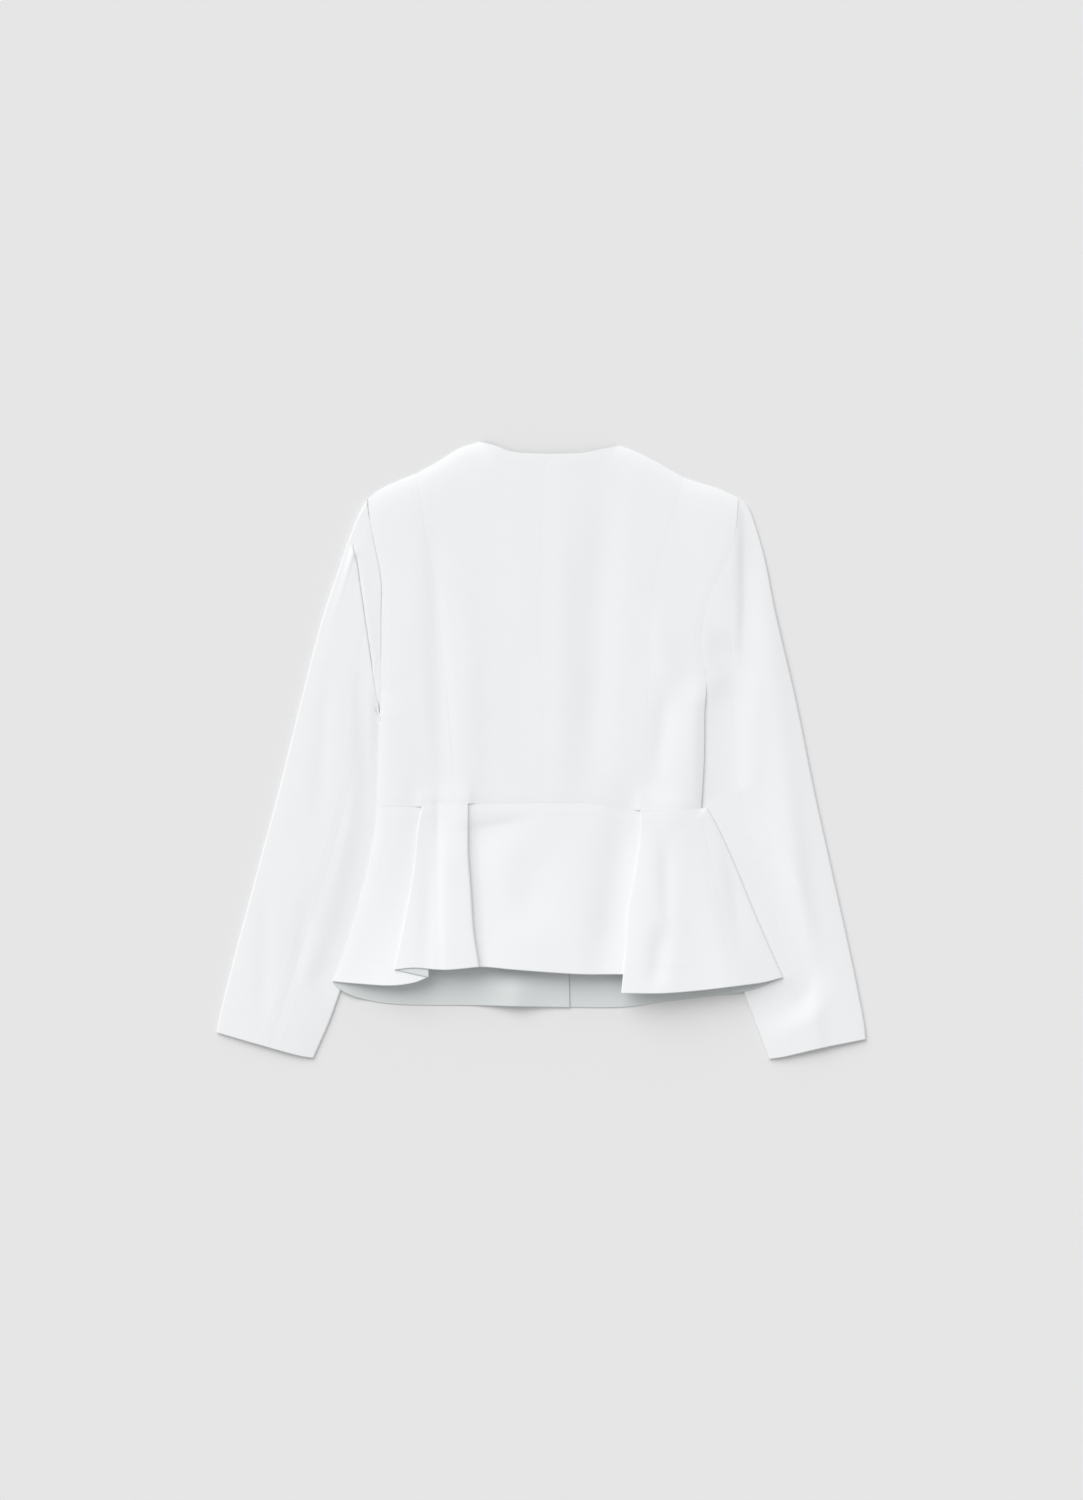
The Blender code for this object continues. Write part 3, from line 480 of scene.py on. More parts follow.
def cloth(node, grid, slot, held, rests_on, sewn="lrt", grain=0.0, up_at=0.25, faint="", strength=1.0):
    """A thin closed wall round a grid of middle points, in place of a solid.

    The edges that are sewn (left, right, top, bottom) sink into a shallow groove, less so where faint. The
    others are rounded. The strength of the grooves is one number, or one for each row.
    The normals point up at the share up_at of the way across.
    """
    rows, columns = grid.shape[:2]
    across_run = np.zeros((rows, columns))
    across_run[:, 1:] = np.cumsum(np.linalg.norm(np.diff(grid, axis=1), axis=2), axis=1)
    down_run = np.zeros((rows, columns))
    down_run[1:] = np.cumsum(np.linalg.norm(np.diff(grid, axis=0), axis=2), axis=0)
    sides = {
        "l": across_run, "r": across_run[:, -1:] - across_run,
        "t": down_run, "b": down_run[-1:] - down_run,
    }
    far = np.full((rows, columns), 1e3)
    seam = np.minimum.reduce([far] + [sides[key] for key in sides if key in sewn])
    deep = np.minimum.reduce([far] + [sides[key] for key in sides if key in sewn and key not in faint])
    pressed = FAINT + (1 - FAINT) * bell(np.maximum(deep - seam, 0), FAINT_BLEND)
    pressed *= np.broadcast_to(strength, rows)[:, None]
    free = np.minimum.reduce([far] + [sides[key] for key in sides if key not in sewn])
    rounded = np.sqrt(1 - (1 - np.clip(free / EDGE_ROUND, 0, 1)) ** 2)
    half = WALL / 2 * (EDGE_SHARE + (1 - EDGE_SHARE) * rounded)
    normal = np.cross(np.gradient(grid, axis=1), np.gradient(grid, axis=0))
    normal /= np.linalg.norm(normal, axis=2, keepdims=True)
    if normal[rows // 2, int(up_at * columns), 2] < 0:
        normal = -normal
    pull = 0.65 + 0.35 * np.sin(down_run / 31 + across_run / 47 + 0.8 * np.sin(down_run / 17))
    pucker = np.sin(2 * math.pi * down_run / PUCKER[1] + 1.7 * np.sin(down_run / 23))
    pucker = pucker * bell(np.minimum(sides["l"], sides["r"]), PUCKER[2])
    relief = -GROOVE[0] * pull * bell(seam, GROOVE[1]) - DIP[0] * pull * bell(seam, DIP[1])
    height, place, half_width = ALLOWANCE_RIDGE
    relief += height * bell(seam - place, half_width) + PUCKER[0] * pucker
    if "b" not in sewn:
        relief += HEM_RIDGE[0] * bell(sides["b"] - HEM_ALLOWANCE, HEM_RIDGE[1])
    relief *= pressed
    upper = grid + normal * (half + relief)[..., None]
    lower = grid - normal * half[..., None]
    points = np.vstack([upper.reshape(-1, 3), lower.reshape(-1, 3)])
    points[:, 2] = np.maximum(points[:, 2], 0)
    index = np.arange(rows * columns).reshape(rows, columns)
    corners = (index[:-1, :-1], index[1:, :-1], index[1:, 1:], index[:-1, 1:])
    quads = np.column_stack([corner.ravel() for corner in corners])
    other = rows * columns
    rim = np.concatenate([index[0, :], index[1:, -1], index[-1, -2::-1], index[-2:0:-1, 0]])
    after = np.roll(rim, -1)
    rim_faces = np.column_stack([rim, after, after + other, rim + other])
    faces = np.vstack([quads, quads[:, ::-1] + other, rim_faces])
    if np.dot(np.cross(upper[1, 0] - upper[0, 0], upper[0, 1] - upper[0, 0]), normal[0, 0]) < 0:
        faces = faces[:, ::-1]
    mesh = bpy.data.meshes.new(node + "_cloth")
    mesh.from_pydata((points * MM).tolist(), [], faces.tolist())
    mesh.shade_smooth()
    turned = np.array([[math.cos(grain), -math.sin(grain)], [math.sin(grain), math.cos(grain)]])
    flat = grid[..., :2] @ turned
    middle = columns // 2
    u = across_run - across_run[:, middle:middle + 1] + flat[:, middle:middle + 1, 0]
    sheet = np.column_stack([u.ravel(), flat[..., 1].ravel()]) * MM
    used = np.array([loop.vertex_index for loop in mesh.loops])
    layer = mesh.uv_layers.new(name="cloth")
    layer.data.foreach_set("uv", np.vstack([sheet, sheet])[used].ravel())
    # The distance that sets the painted shade at turned edges and seams.
    painted_shade_layer = mesh.attributes.new("edge", "FLOAT", "POINT")
    painted_shade_distance = np.minimum(seam + FAINT_DISTANCE * (1 - pressed) + SEAM_DISTANCE, free)
    painted_shade_layer.data.foreach_set("value", np.tile(painted_shade_distance.ravel() * MM, 2))
    mesh.materials.append(OUTSIDE)
    mesh.materials.append(INSIDE_PAINTED_SHADE)
    inner_face = np.zeros(len(faces), np.int32)
    first = 0 if slot == "shell_front" else len(quads)
    inner_face[first:first + len(quads)] = 1
    mesh.polygons.foreach_set("material_index", inner_face)
    obj = new_object(node + "_cloth", mesh)
    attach(obj, "root")
    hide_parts(node)


def panel(node, top, bottom, left, right, height, rests_on, top_corners=(), side_corners=(), **look):
    """One flat-cut piece between four seams, and its grid of middle points."""
    width = 0.5 * (run_of(top)[-1] + run_of(bottom)[-1])
    depth = 0.5 * (run_of(left)[-1] + run_of(right)[-1])
    across = shares_for(width, stops=top_corners)
    down = shares_for(depth, stops=side_corners)
    grid = raised(rows_between(top, bottom, at(left, down), at(right, down), down, across), height)
    choice = {"slot": "shell", "held": "laid", "sewn": "lrtb"}
    cloth(node, grid, rests_on=rests_on, **{**choice, **look})
    return grid


def corner_share(first, whole):
    """Where the first part of a joined line ends, as a share of the whole."""
    return run_of(smooth(first))[-1] / run_of(whole)[-1]


def waist_part(low, high):
    """The waist seam from one x to another."""
    inside = [point for point in WAIST_TABLE if low < point[0] < high]
    table = np.array(WAIST_TABLE, float)
    ends = [(x, np.interp(x, table[:, 0], table[:, 1])) for x in (low, high)]
    return np.array([ends[0], *inside, ends[1]], float)


UNDER_BACK = ("front_left", "front_right")
top = joined(SHOULDER_LEFT_INNER, NECK_BACK_LEFT)
back_centre_left = panel(
    "back_centre_left", top, waist_part(-92, 2), smooth(PRINCESS_SEAM_LEFT), smooth(CENTRE_BACK),
    bodice_height, UNDER_BACK, top_corners=(corner_share(SHOULDER_LEFT_INNER, top),), faint="r",
)

# Back, centre right panel
# The panel on the other side of the centre back seam, in the same crepe, sewn and pressed in the same way.
# It is a little wider, and a broad soft valley runs down its middle.
top = joined(NECK_BACK_RIGHT, SHOULDER_RIGHT_INNER)
back_centre_right = panel(
    "back_centre_right", top, waist_part(2, 108), smooth(CENTRE_BACK), smooth(PRINCESS_SEAM_RIGHT),
    bodice_height, UNDER_BACK, top_corners=(corner_share(NECK_BACK_RIGHT, top),), faint="lr",
)

# Back, left side panel
# The narrow panel between the left princess seam, the armhole and the side. Its side edge rolls down on to
# the front, with no seam showing.
side = joined(ARMHOLE_LEFT, SIDE_LEFT)
back_side_left = panel(
    "back_side_left", smooth(SHOULDER_LEFT_OUTER), waist_part(-176, -92), side, smooth(PRINCESS_SEAM_LEFT),
    bodice_height, UNDER_BACK, side_corners=(corner_share(ARMHOLE_LEFT, side),),
)

# Back, right side panel
# The same narrow panel on the right, between the right princess seam, the armhole and the side. A soft
# ridge runs down beside its edge above the waist.
side = joined(ARMHOLE_RIGHT, SIDE_RIGHT)
back_side_right = panel(
    "back_side_right", smooth(SHOULDER_RIGHT_OUTER), waist_part(108, 170), smooth(PRINCESS_SEAM_RIGHT),
    side, bodice_height, UNDER_BACK, side_corners=(corner_share(ARMHOLE_RIGHT, side),), faint="l",
)

# Left front
# It lies face down on the ground, hidden by the back, and its straight edge laps over the right front. Its
# armhole is scooped further in than the back's, and its neck is cut lower.
ARMHOLE_FRONT_LEFT = (
    TIP_LEFT, (-181, 240), (-171, 205), (-167, 170), (-168, 135), (-171.5, 100), ARMPIT_LEFT,
)
ARMHOLE_FRONT_RIGHT = (
    TIP_RIGHT, (204, 238), (192, 207), (178, 176), (170.5, 145), (170.5, 112), ARMPIT_RIGHT,
)
NECK_FRONT_LEFT = (NECK_LEFT, (-58, 296), (-36, 264), (-5, 244), (30, 238))
NECK_FRONT_RIGHT = (NECK_RIGHT, (73, 296), (51, 264), (20, 244), (-15, 238))
EDGE_LEFT_FRONT = ((30, 238), (29, 80), (28, -60))
EDGE_RIGHT_FRONT = ((-15, 238), (-15, 80), (-15, -60))
WAIST_FRONT_LEFT = (WAIST_LEFT, (28, -60))
WAIST_FRONT_RIGHT = ((-15, -60), WAIST_RIGHT)
# The hem below curls up in one place: the middle x, half width, start y, length and height of the curl.
HEM_CURL = (-31, 26, -230, 30, 6.2)


def front_height(x, y):
    """The middle of the right front's cloth."""
    return FLOOR + lift(x, y)


def lapped_height(x, y):
    """The middle of the left front's cloth, over the right front at its edge."""
    middle, half_width, start, length, height = HEM_CURL
    curl = bell(x - middle, half_width) * step((start - y) / length)
    return front_height(x, y) + lapped(x) + height * curl


side = joined(ARMHOLE_FRONT_LEFT, SIDE_LEFT)
edge = joined(NECK_FRONT_LEFT, EDGE_LEFT_FRONT)
corners = (corner_share(NECK_FRONT_LEFT, edge), corner_share(ARMHOLE_FRONT_LEFT, side))
front_left = panel(
    "front_left", SHOULDERS[0], np.array(WAIST_FRONT_LEFT, float), side, edge, lapped_height,
    ("floor", "front_right"), side_corners=corners, slot="shell_front", sewn="ltb",
)

# Right front
# The other front, cut like the left one. Its straight edge lies on the ground under the left front's, so
# it is the outer one when the jacket is worn.
side = joined(ARMHOLE_FRONT_RIGHT, SIDE_RIGHT)
edge = joined(NECK_FRONT_RIGHT, EDGE_RIGHT_FRONT)
corners = (corner_share(NECK_FRONT_RIGHT, edge), corner_share(ARMHOLE_FRONT_RIGHT, side))
front_right = panel(
    "front_right", SHOULDERS[1], np.array(WAIST_FRONT_RIGHT, float), edge, side, front_height,
    ("floor",), side_corners=corners, slot="shell_front", sewn="rtb",
)

# Peplum, centre back
# The panel of the flounce between the two pleats, in the same crepe. It is sewn to the waist seam and
# falls in soft upright folds, and its turned-up hem stands clear of the fronts.
SIDE_SEAM_RIGHT = ((169, -62), (176, -97), (184, -140), (192, -180), (198, -215), (204, -252))
FOLD_TURN = ((-124, -60), (-124, -89), (-122, -130), (-122, -181), (-121, -242))
FOLD_EDGE = ((-128, -60), (-133, -89), (-137, -130), (-146, -181), (-157, -234))
PLEAT_LEFT = ((-79, -57), (-79, -106), (-76, -149), (-73, -192), (-67, -231))
PLEAT_LEFT_SEAM = ((-98, -57), (-99, -106), (-99, -149), (-98, -192), (-95, -234))
PLEAT_RIGHT = ((106, -64), (105, -95), (99, -135), (92, -175), (90, -210), (85, -259))
PLEAT_RIGHT_SEAM = ((127, -64), (127, -100), (125, -140), (122, -180), (120, -215), (117, -240))
EDGE_LEFT_PEPLUM = ((28, -60), (28, -150), (30, -275))
EDGE_RIGHT_PEPLUM = ((-15, -60), (-15, -150), (-14, -274))
HEM_BACK_CENTRE = ((-95, -234), (-67, -231), (-30, -234), (10, -237), (46, -239), (84, -239), (117, -240))
HEM_SIDE_LEFT = (PEPLUM_TIP_LEFT, (-200, -249), (-162, -251), (-137, -248), (-121, -242))
HEM_FOLD = ((-157, -234), (-136, -232), (-103, -234), (-67, -231))
HEM_SIDE_RIGHT = ((85, -259), (129, -259), (169, -256), (204, -252))
HEM_WRAP = (PEPLUM_TIP_RIGHT, (236, -248), (204, -252))
TURN_PARTS = 8


def turn(place, heading, low, high):
    """Points of a half turn from one layer to the next, between their ends."""
    angles = np.linspace(0, math.pi, TURN_PARTS + 1)[1:-1]
    radius = abs(high - low) / 2
    flat = place + np.outer(np.sin(angles) * radius, heading)
    return np.column_stack([flat, (low + high) / 2 + (low - high) / 2 * np.cos(angles)])


def folded(node, waist, keys, runs, rests_on, slot="shell", sewn="lrt", up_at=0.25):
    """A peplum piece that runs from key line to key line and turns back at each one between.

    A run is its height and the hem line that it follows, None for a straight one.
    """
    lines = [smooth(key) for key in keys]
    waist = np.array(waist, float)
    depth = max(run_of(line)[-1] for line in lines)
    last_run = len(runs) - 1
    spacings = []
    for number, (start, stop) in enumerate(zip(lines, lines[1:])):
        width = max(np.linalg.norm(at(stop, f) - at(start, f)) for f in (0, 0.5, 1))
        spacings.append(shares_for(width, rims=(number == 0, number == last_run)))
    grid = []
    for share in shares_for(depth):
        path = []
        for number, (level, hem) in enumerate(runs):
            start, stop = at(lines[number], share), at(lines[number + 1], share)
            heading = (stop - start) / np.linalg.norm(stop - start)
            trims = [0, 0]
            if number > 0:
                trims[0] = abs(runs[number - 1][0](*start) - level(*start)) / 2
            if number < last_run:
                trims[1] = abs(runs[number + 1][0](*stop) - level(*stop)) / 2
            f = spacings[number][:, None]
            flat = (start + heading * trims[0]) * (1 - f) + (stop - heading * trims[1]) * f
            if hem is not None:
                hem_line = smooth(hem)
                flat += share * (at(hem_line, f[:, 0]) - hem_line[0] * (1 - f) - hem_line[-1] * f)
            seam = np.interp(flat[:, 0], waist[:, 0], waist[:, 1]) - 2 * SEAM_GAP
            straight = lines[number][0, 1] * (1 - f[:, 0]) + lines[number + 1][0, 1] * f[:, 0]
            flat[:, 1] += (1 - share) * (seam - straight)
            path.append(np.column_stack([flat, level(flat[:, 0], flat[:, 1])]))
            if number < last_run:
                after = runs[number + 1][0](*flat[-1])
                path.append(turn(flat[-1], heading, path[-1][-1, 2], after))
        grid.append(np.vstack(path))
    grid = np.array(grid)
    held = "folded" if last_run else "laid"
    cloth(node, grid, slot, held, rests_on, sewn, up_at=up_at)
    return grid


folded(
    "peplum_back_centre", WAIST_TABLE, (PLEAT_LEFT_SEAM, PLEAT_RIGHT_SEAM),
    ((back_height, HEM_BACK_CENTRE),), ("peplum_front_left", "peplum_front_right"),
)

# Peplum, left side back
# It runs in from the side, turns under at a deep S-shaped fold and comes out to the left pleat's edge,
# where it turns back to its seam with the centre panel.
FOLD_TURN_LINE = smooth(FOLD_TURN)
PLEAT_LEFT_SEAM_LINE = smooth(PLEAT_LEFT_SEAM)
# How far past a fold the cloth over it stays up, and how softly it then comes down, left and right.
FOLD_REACH = 3
FOLD_SOFTNESS = (16, 26)
# The left pleat stands a little fuller than its layers, from a short way below the waist.
PLEAT_PUFF = 2.4
PLEAT_PUFF_RAMP = 60


def left_side_top(x, y):
    """The upper layer of the left side back, over its own fold and over the pleat."""
    over_fold = near(x, -math.inf, x_on(FOLD_TURN_LINE, y) + FOLD_REACH, FOLD_SOFTNESS[0])
    over_pleat = near(x, x_on(PLEAT_LEFT_SEAM_LINE, y) - FOLD_REACH, math.inf, FOLD_SOFTNESS[0])
    puff = PLEAT_PUFF * over_pleat * step((PLEAT_LEFT[0][1] - y) / PLEAT_PUFF_RAMP)
    return back_height(x, y) + 2 * STACKED * np.maximum(over_fold, over_pleat) + puff


def between(x, y):
    """The hidden layer of a fold, on the lowest one and under the top one."""
    return back_height(x, y) + STACKED


folded(
    "peplum_side_left", WAIST_TABLE, (PEPLUM_EDGE_LEFT, FOLD_TURN, FOLD_EDGE, PLEAT_LEFT, PLEAT_LEFT_SEAM),
    ((back_height, HEM_SIDE_LEFT), (between, None), (left_side_top, HEM_FOLD), (between, None)),
    ("peplum_back_centre", "peplum_front_left"),
)

# Peplum, right side back
# It turns back under itself at the right pleat's edge, over the centre panel. On the other side it is sewn
# to the part of the right front that wraps round on to the back.
PLEAT_RIGHT_SEAM_LINE = smooth(PLEAT_RIGHT_SEAM)


def right_side_top(x, y):
    """The upper layer of the right side back, over the pleat."""
    over_pleat = near(x, -math.inf, x_on(PLEAT_RIGHT_SEAM_LINE, y) + FOLD_REACH, FOLD_SOFTNESS[1])
    return back_height(x, y) + 2 * STACKED * over_pleat


peplum_side_right = folded(
    "peplum_side_right", WAIST_TABLE, (PLEAT_RIGHT_SEAM, PLEAT_RIGHT, SIDE_SEAM_RIGHT),
    ((between, None), (right_side_top, HEM_SIDE_RIGHT)),
    ("peplum_back_centre", "peplum_front_right"), up_at=0.8,
)

# Peplum, left front
# The flounce of the left front, on the ground. It laps over the right one, and a strip of its inside shows
# below the back's hem, in its shade.
folded(
    "peplum_front_left", WAIST_FRONT_LEFT, (PEPLUM_EDGE_LEFT, EDGE_LEFT_PEPLUM),
    ((lapped_height, HEM_FRONT_LEFT),), ("floor", "peplum_front_right"), "shell_front", "lt",
)

# Peplum, right front
# The flounce of the right front, wider than the left one. It wraps round the right edge and comes up on
# the back as far as the side seam.
folded(
    "peplum_front_right", WAIST_FRONT_RIGHT, (EDGE_RIGHT_PEPLUM, PEPLUM_EDGE_RIGHT, SIDE_SEAM_RIGHT),
    ((front_height, HEM_FRONT_RIGHT), (back_height, HEM_WRAP)), ("floor",), "shell_front", "rt",
)

# Left sleeve
# A two-piece sleeve in the same crepe, laid flat and folded back over its own head, so that a crease runs
# down beside the armhole. The seam of its two pieces shows from the elbow to the cuff.
CUFF_LEFT = ((-245, -329), (-262, -326), (-298, -316), (-347, -302))
CUFF_RIGHT = ((244, -330), (262, -327), (300, -318), (346, -309))
# Where the left sleeve is folded back over its head, from below the armpit outwards.
ARM_FOLD_LEFT = (
    (-168.2, 20), (-173, 33), (-177.4, 56), (-183.4, 98), (-191, 150), (-197, 190), (-205, 227),
)
# The fold's depth, the height of its layers, and how far down the cloth is shifted.
TUCK_DEPTH = 10
TUCK_SPACING = 1.3
TUCK_FADE = 95
# Over which shares it deepens from its lower and its upper end, and how flat it is pressed.
TUCK_ENDS = (0.2, 0.22)
TUCK_PRESSED = 0.85
TUCK_REACH = 0.02
HEAD_RISE = 2.1
HEAD_SLOPE = 2.6
BARE_RAMP = 12

# Where the seam of the two pieces lies across the width, and its swing at the shoulder.
ARM_SEAM_TOP = 0.46
ARM_SEAM_BOTTOM = 0.24
ARM_SEAM_SHOULDER = 0.14
SHOULDER_SHARE = 0.15
# How clearly a sleeve's seams show above the elbow, and at most.
SEAM_SHOWS = ((0.3, 1.0), (0.4, 0.6))
ELBOW = 0.4
ELBOW_RAMP = 0.15

# How a sleeve's points are spaced: down it, across each layer, above the fold and along the inner line.
ROW_PITCH = 3.2
UPPER_PITCH = 2.8
LOWER_PITCH = 4.5
PIECE_SHARE = 0.6
HEAD_ROWS = 18
HEAD_SPACE = 12
INNER_PACE = 1.6

JOIN_SOFTNESS = (16, 20)
TIP_BLEND = 40
SLEEVE_EDGE_RADIUS = 0.95
SLEEVE_PUFF = (2.2, 3.0)
SLEEVE_SOFTNESS = 17
# How far outside the body's edge a sleeve begins to rise, and over how far.
PRESSED_MARGIN = (6, 26)
FREE_RAMP = (26, 32)
# The right sleeve bulges a little beside the body's edge, from this y down.
SHELF_TOP = 125
SHELF_RAMP = 40
SHELF_SOFTNESS = 14
SHELF_RISE = 1.5
# How softly the cloth is held up where it would sink too low.
PUFF_EASE = 0.3
FOLD_EASE = 0.2
SLEEVE_FOLDS = (
    (217, 170, 213, 60, 6, -1.2, 16),
    (238, 170, 266, -60, 15, 1.4),
    (262, -60, 292, -300, 20, 3.4, 13),
    (-231, 60, -238, -70, 9, -0.9),
    (-296, -160, -297, -280, 10, -1.0),
    (-250, -160, -262, -235, 9, -0.9),
    (210, -112, 244, -117, 7, -1.0),
)


def covered(x, y):
    """How far a point is outside the body's outline, 0 under it."""
    inside = (x > x_on(FREE_EDGE_LEFT, y)) & (x < x_on(FREE_EDGE_RIGHT, y))
    hem = np.interp(x, FRONT_HEM[:, 0], FRONT_HEM[:, 1])
    inside &= (y > hem) & (y < ARMPIT_LEFT[1])
    return np.where(inside, 0, distance(BODY_OUTLINE, x, y))


def seam_height(side, y):
    """The height of the armhole seam, by y."""
    line = ARMHOLES[side][np.argsort(ARMHOLES[side][:, 1])]
    return np.interp(y, line[:, 1], back_height(line[:, 0], line[:, 1]))


def held_up(value, ease):
    """The value where it is above 0, easing out to 0 below."""
    return 0.5 * (value + np.sqrt(value**2 + ease))


# The fold that hangs from the right sleeve's head, beside its armhole.
HEAD_FOLDS = ((216.5, 330, 217.5, 150, 7, -2.8, 18),)


def sleeve_height(side, x, y):
    """The middle of a sleeve's upper layer, pressed flat where the body lies on it."""
    outside = covered(x, y)
    free = step((outside - PRESSED_MARGIN[side]) / FREE_RAMP[side])
    tip = TIP_LEFT if side == 0 else TIP_RIGHT
    past_tip = step(np.hypot(x - tip[0], y - tip[1]) / TIP_BLEND)
    edge = np.minimum(distance(OUTER_LINES[side], x, y), distance(INNER_LINES[side], x, y))
    puff = SLEEVE_PUFF[side] * (1 - np.exp(-edge / SLEEVE_SOFTNESS))
    puff = puff + folds(SLEEVE_FOLDS, x, y) + waviness(x, y)
    rounded = (2 * SLEEVE_EDGE_RADIUS - LAYER) * past_tip
    alone = FLOOR + LAYER + held_up(free * (rounded + puff), PUFF_EASE)
    if side == 1:
        alone = alone + SHELF_RISE * bell(outside, SHELF_SOFTNESS) * step((SHELF_TOP - y) / SHELF_RAMP)
    beside_armhole = bell(distance(ARMHOLES[side], x, y), JOIN_SOFTNESS[side])
    joined_on = alone + (seam_height(side, y) - alone) * beside_armhole
    above = joined_on + folds(HEAD_FOLDS, x, y) - FLOOR - LAYER
    return FLOOR + LAYER + held_up(above, FOLD_EASE)


def tuck_path(amount, arcs=8, flats=4):
    """Along and up through an S-shaped tuck, from nothing (0) to full depth (1)."""
    bend = math.pi * step(amount / 0.5)
    flat_run = 1 + (TUCK_DEPTH - 1) * step((amount - 0.5) / 0.5)
    arc = math.pi * TUCK_SPACING / 2
    pieces = [(arc / arcs, bend * (i + 0.5) / arcs) for i in range(arcs)]
    pieces += [(flat_run / flats, bend)] * flats
    pieces += [(arc / arcs, bend * (i - 0.5) / arcs) for i in range(arcs, 0, -1)]
    steps = np.array([(length * math.cos(angle), length * math.sin(angle)) for length, angle in pieces])
    return np.vstack([[0, 0], np.cumsum(steps, axis=0)])


def sleeve(node, side, armhole, armhole_front, cuff, arm_fold, grain):
    """The top and under sleeve, as two pieces that meet at a seam on each layer."""
    outer, inner = OUTER_LINES[side], INNER_LINES[side]
    outer_run, inner_run = run_of(outer)[-1], run_of(inner)[-1]
    back = smooth(armhole)[::-1]
    front = smooth(armhole_front)[::-1]
    cuff = smooth(cuff)
    end, deepest = SEAM_GAP, RIM_STEPS[-1]
    first_rims = end + np.array([0, *RIM_STEPS[:-1]])
    last_rims = np.array([*RIM_STEPS[-2::-1], 0])
    if arm_fold is None:
        count = int(outer_run / ROW_PITCH)
        rows = np.linspace((end + deepest) / outer_run, 1 - deepest / outer_run, count)
        outer_at = np.concatenate([first_rims / outer_run, rows, 1 - last_rims / outer_run])
        inner_at = end / inner_run + (1 - end / inner_run) * outer_at**INNER_PACE
    else:
        fold = smooth(arm_fold)
        meets_outer = np.argmin(np.hypot(*(outer - fold[-1]).T))
        meets_inner = np.argmin(np.hypot(*(inner - fold[0]).T))
        outer_fold = run_of(outer)[meets_outer] / outer_run
        inner_fold = run_of(inner)[meets_inner] / inner_run
        first = HEAD_ROWS
        tuck_run = tuck_path(0)[:, 0]
        last = first + len(tuck_run) - 1

        def stretch(run, fold_at, pace):
            """Shares of a line's length for the head, the fold and the rest of the sleeve."""
            before = fold_at - tuck_run[-1] / 2 / run
            after = fold_at + tuck_run[-1] / 2 / run
            head = end / run + (before - end / run) * np.linspace(0, 1, first - len(RIM_STEPS) + 2)[1:-1]
            near_rim = first_rims / run * min(1, before * run / HEAD_SPACE)
            tail = np.linspace(0, 1, int(outer_run * (1 - outer_fold) / ROW_PITCH))[1:]
            tail = np.sort(np.concatenate([tail[:-1], 1 - last_rims / (run * (1 - after))]))
            tail = after + (1 - after) * tail**pace
            return np.concatenate([near_rim, head, [before], before + tuck_run[1:] / run, tail])

        outer_at = stretch(outer_run, outer_fold, 1)
        inner_at = stretch(inner_run, inner_fold, INNER_PACE)
    left, right = at(inner, inner_at), at(outer, outer_at)
    width = np.hypot(*(right - left).T)

    def upper(shares):
        """The upper layer with its tuck, if it has one."""
        flat = rows_between(back, cuff, left, right, outer_at, shares)
        grid = raised(flat, lambda x, y: sleeve_height(side, x, y))
        if arm_fold is None:
            return grid
        for column in range(shares.shape[1]):
            share = shares[first, column]
            amount = float(step(share / TUCK_ENDS[0]) * step((1 - share) / TUCK_ENDS[1]))
            path = tuck_path(amount)
            crease = at(fold, share)
            ahead = at(fold, min(share + TUCK_REACH, 1)) - at(fold, max(share - TUCK_REACH, 0))
            along = flat[last, column] - flat[first, column]
            away = amount * np.array([-ahead[1], ahead[0]]) / np.linalg.norm(ahead)
            away += (1 - amount) * along / np.linalg.norm(along)
            away /= np.linalg.norm(away)
            begin = crease + away * (TUCK_SPACING / 2 * amount - path[-1, 0] * (0.5 + 0.5 * amount))
            ramp = np.arange(first) / first
            grid[:first, column, :2] += (begin - grid[first, column, :2]) * ramp[:, None]
            low = float(sleeve_height(side, *begin))
            low += (FLOOR + LAYER - low) * TUCK_PRESSED * amount
            head = grid[:first + 1, column]
            clear = step(((crease - head[:, :2]) @ away) / HEAD_SLOPE)
            high = sleeve_height(side, head[:, 0], head[:, 1])
            high = np.maximum(high, low + HEAD_RISE * amount)
            head[:, 2] = high + (low - high) * (1 - clear) * amount
            head[-1, 2] = low
            grid[first:last + 1, column, :2] = begin + away * path[:, :1]
            grid[first:last + 1, column, 2] = low + path[:, 1]
            shift = grid[last, column, :2] - flat[last, column]
            beyond = grid[last + 1:, column]
            run = np.hypot(*(flat[last + 1:, column] - flat[last, column]).T)
            fade = bell(run, TUCK_FADE)
            beyond[:, :2] += shift * fade[:, None]
            bare = step(covered(beyond[:, 0], beyond[:, 1]) / BARE_RAMP)
            from_edge = distance(outer, beyond[:, 0], beyond[:, 1])
            inside = from_edge / (from_edge + run)
            beyond[:, 2] += np.maximum(low + path[-1, 1] - beyond[:, 2], 0) * fade * bare * inside
        return grid

    def lower(shares):
        """The lower layer, flat on the ground."""
        flat = rows_between(front, cuff, left, right, outer_at, shares)
        return np.dstack([flat, np.full(flat.shape[:2], FLOOR)])

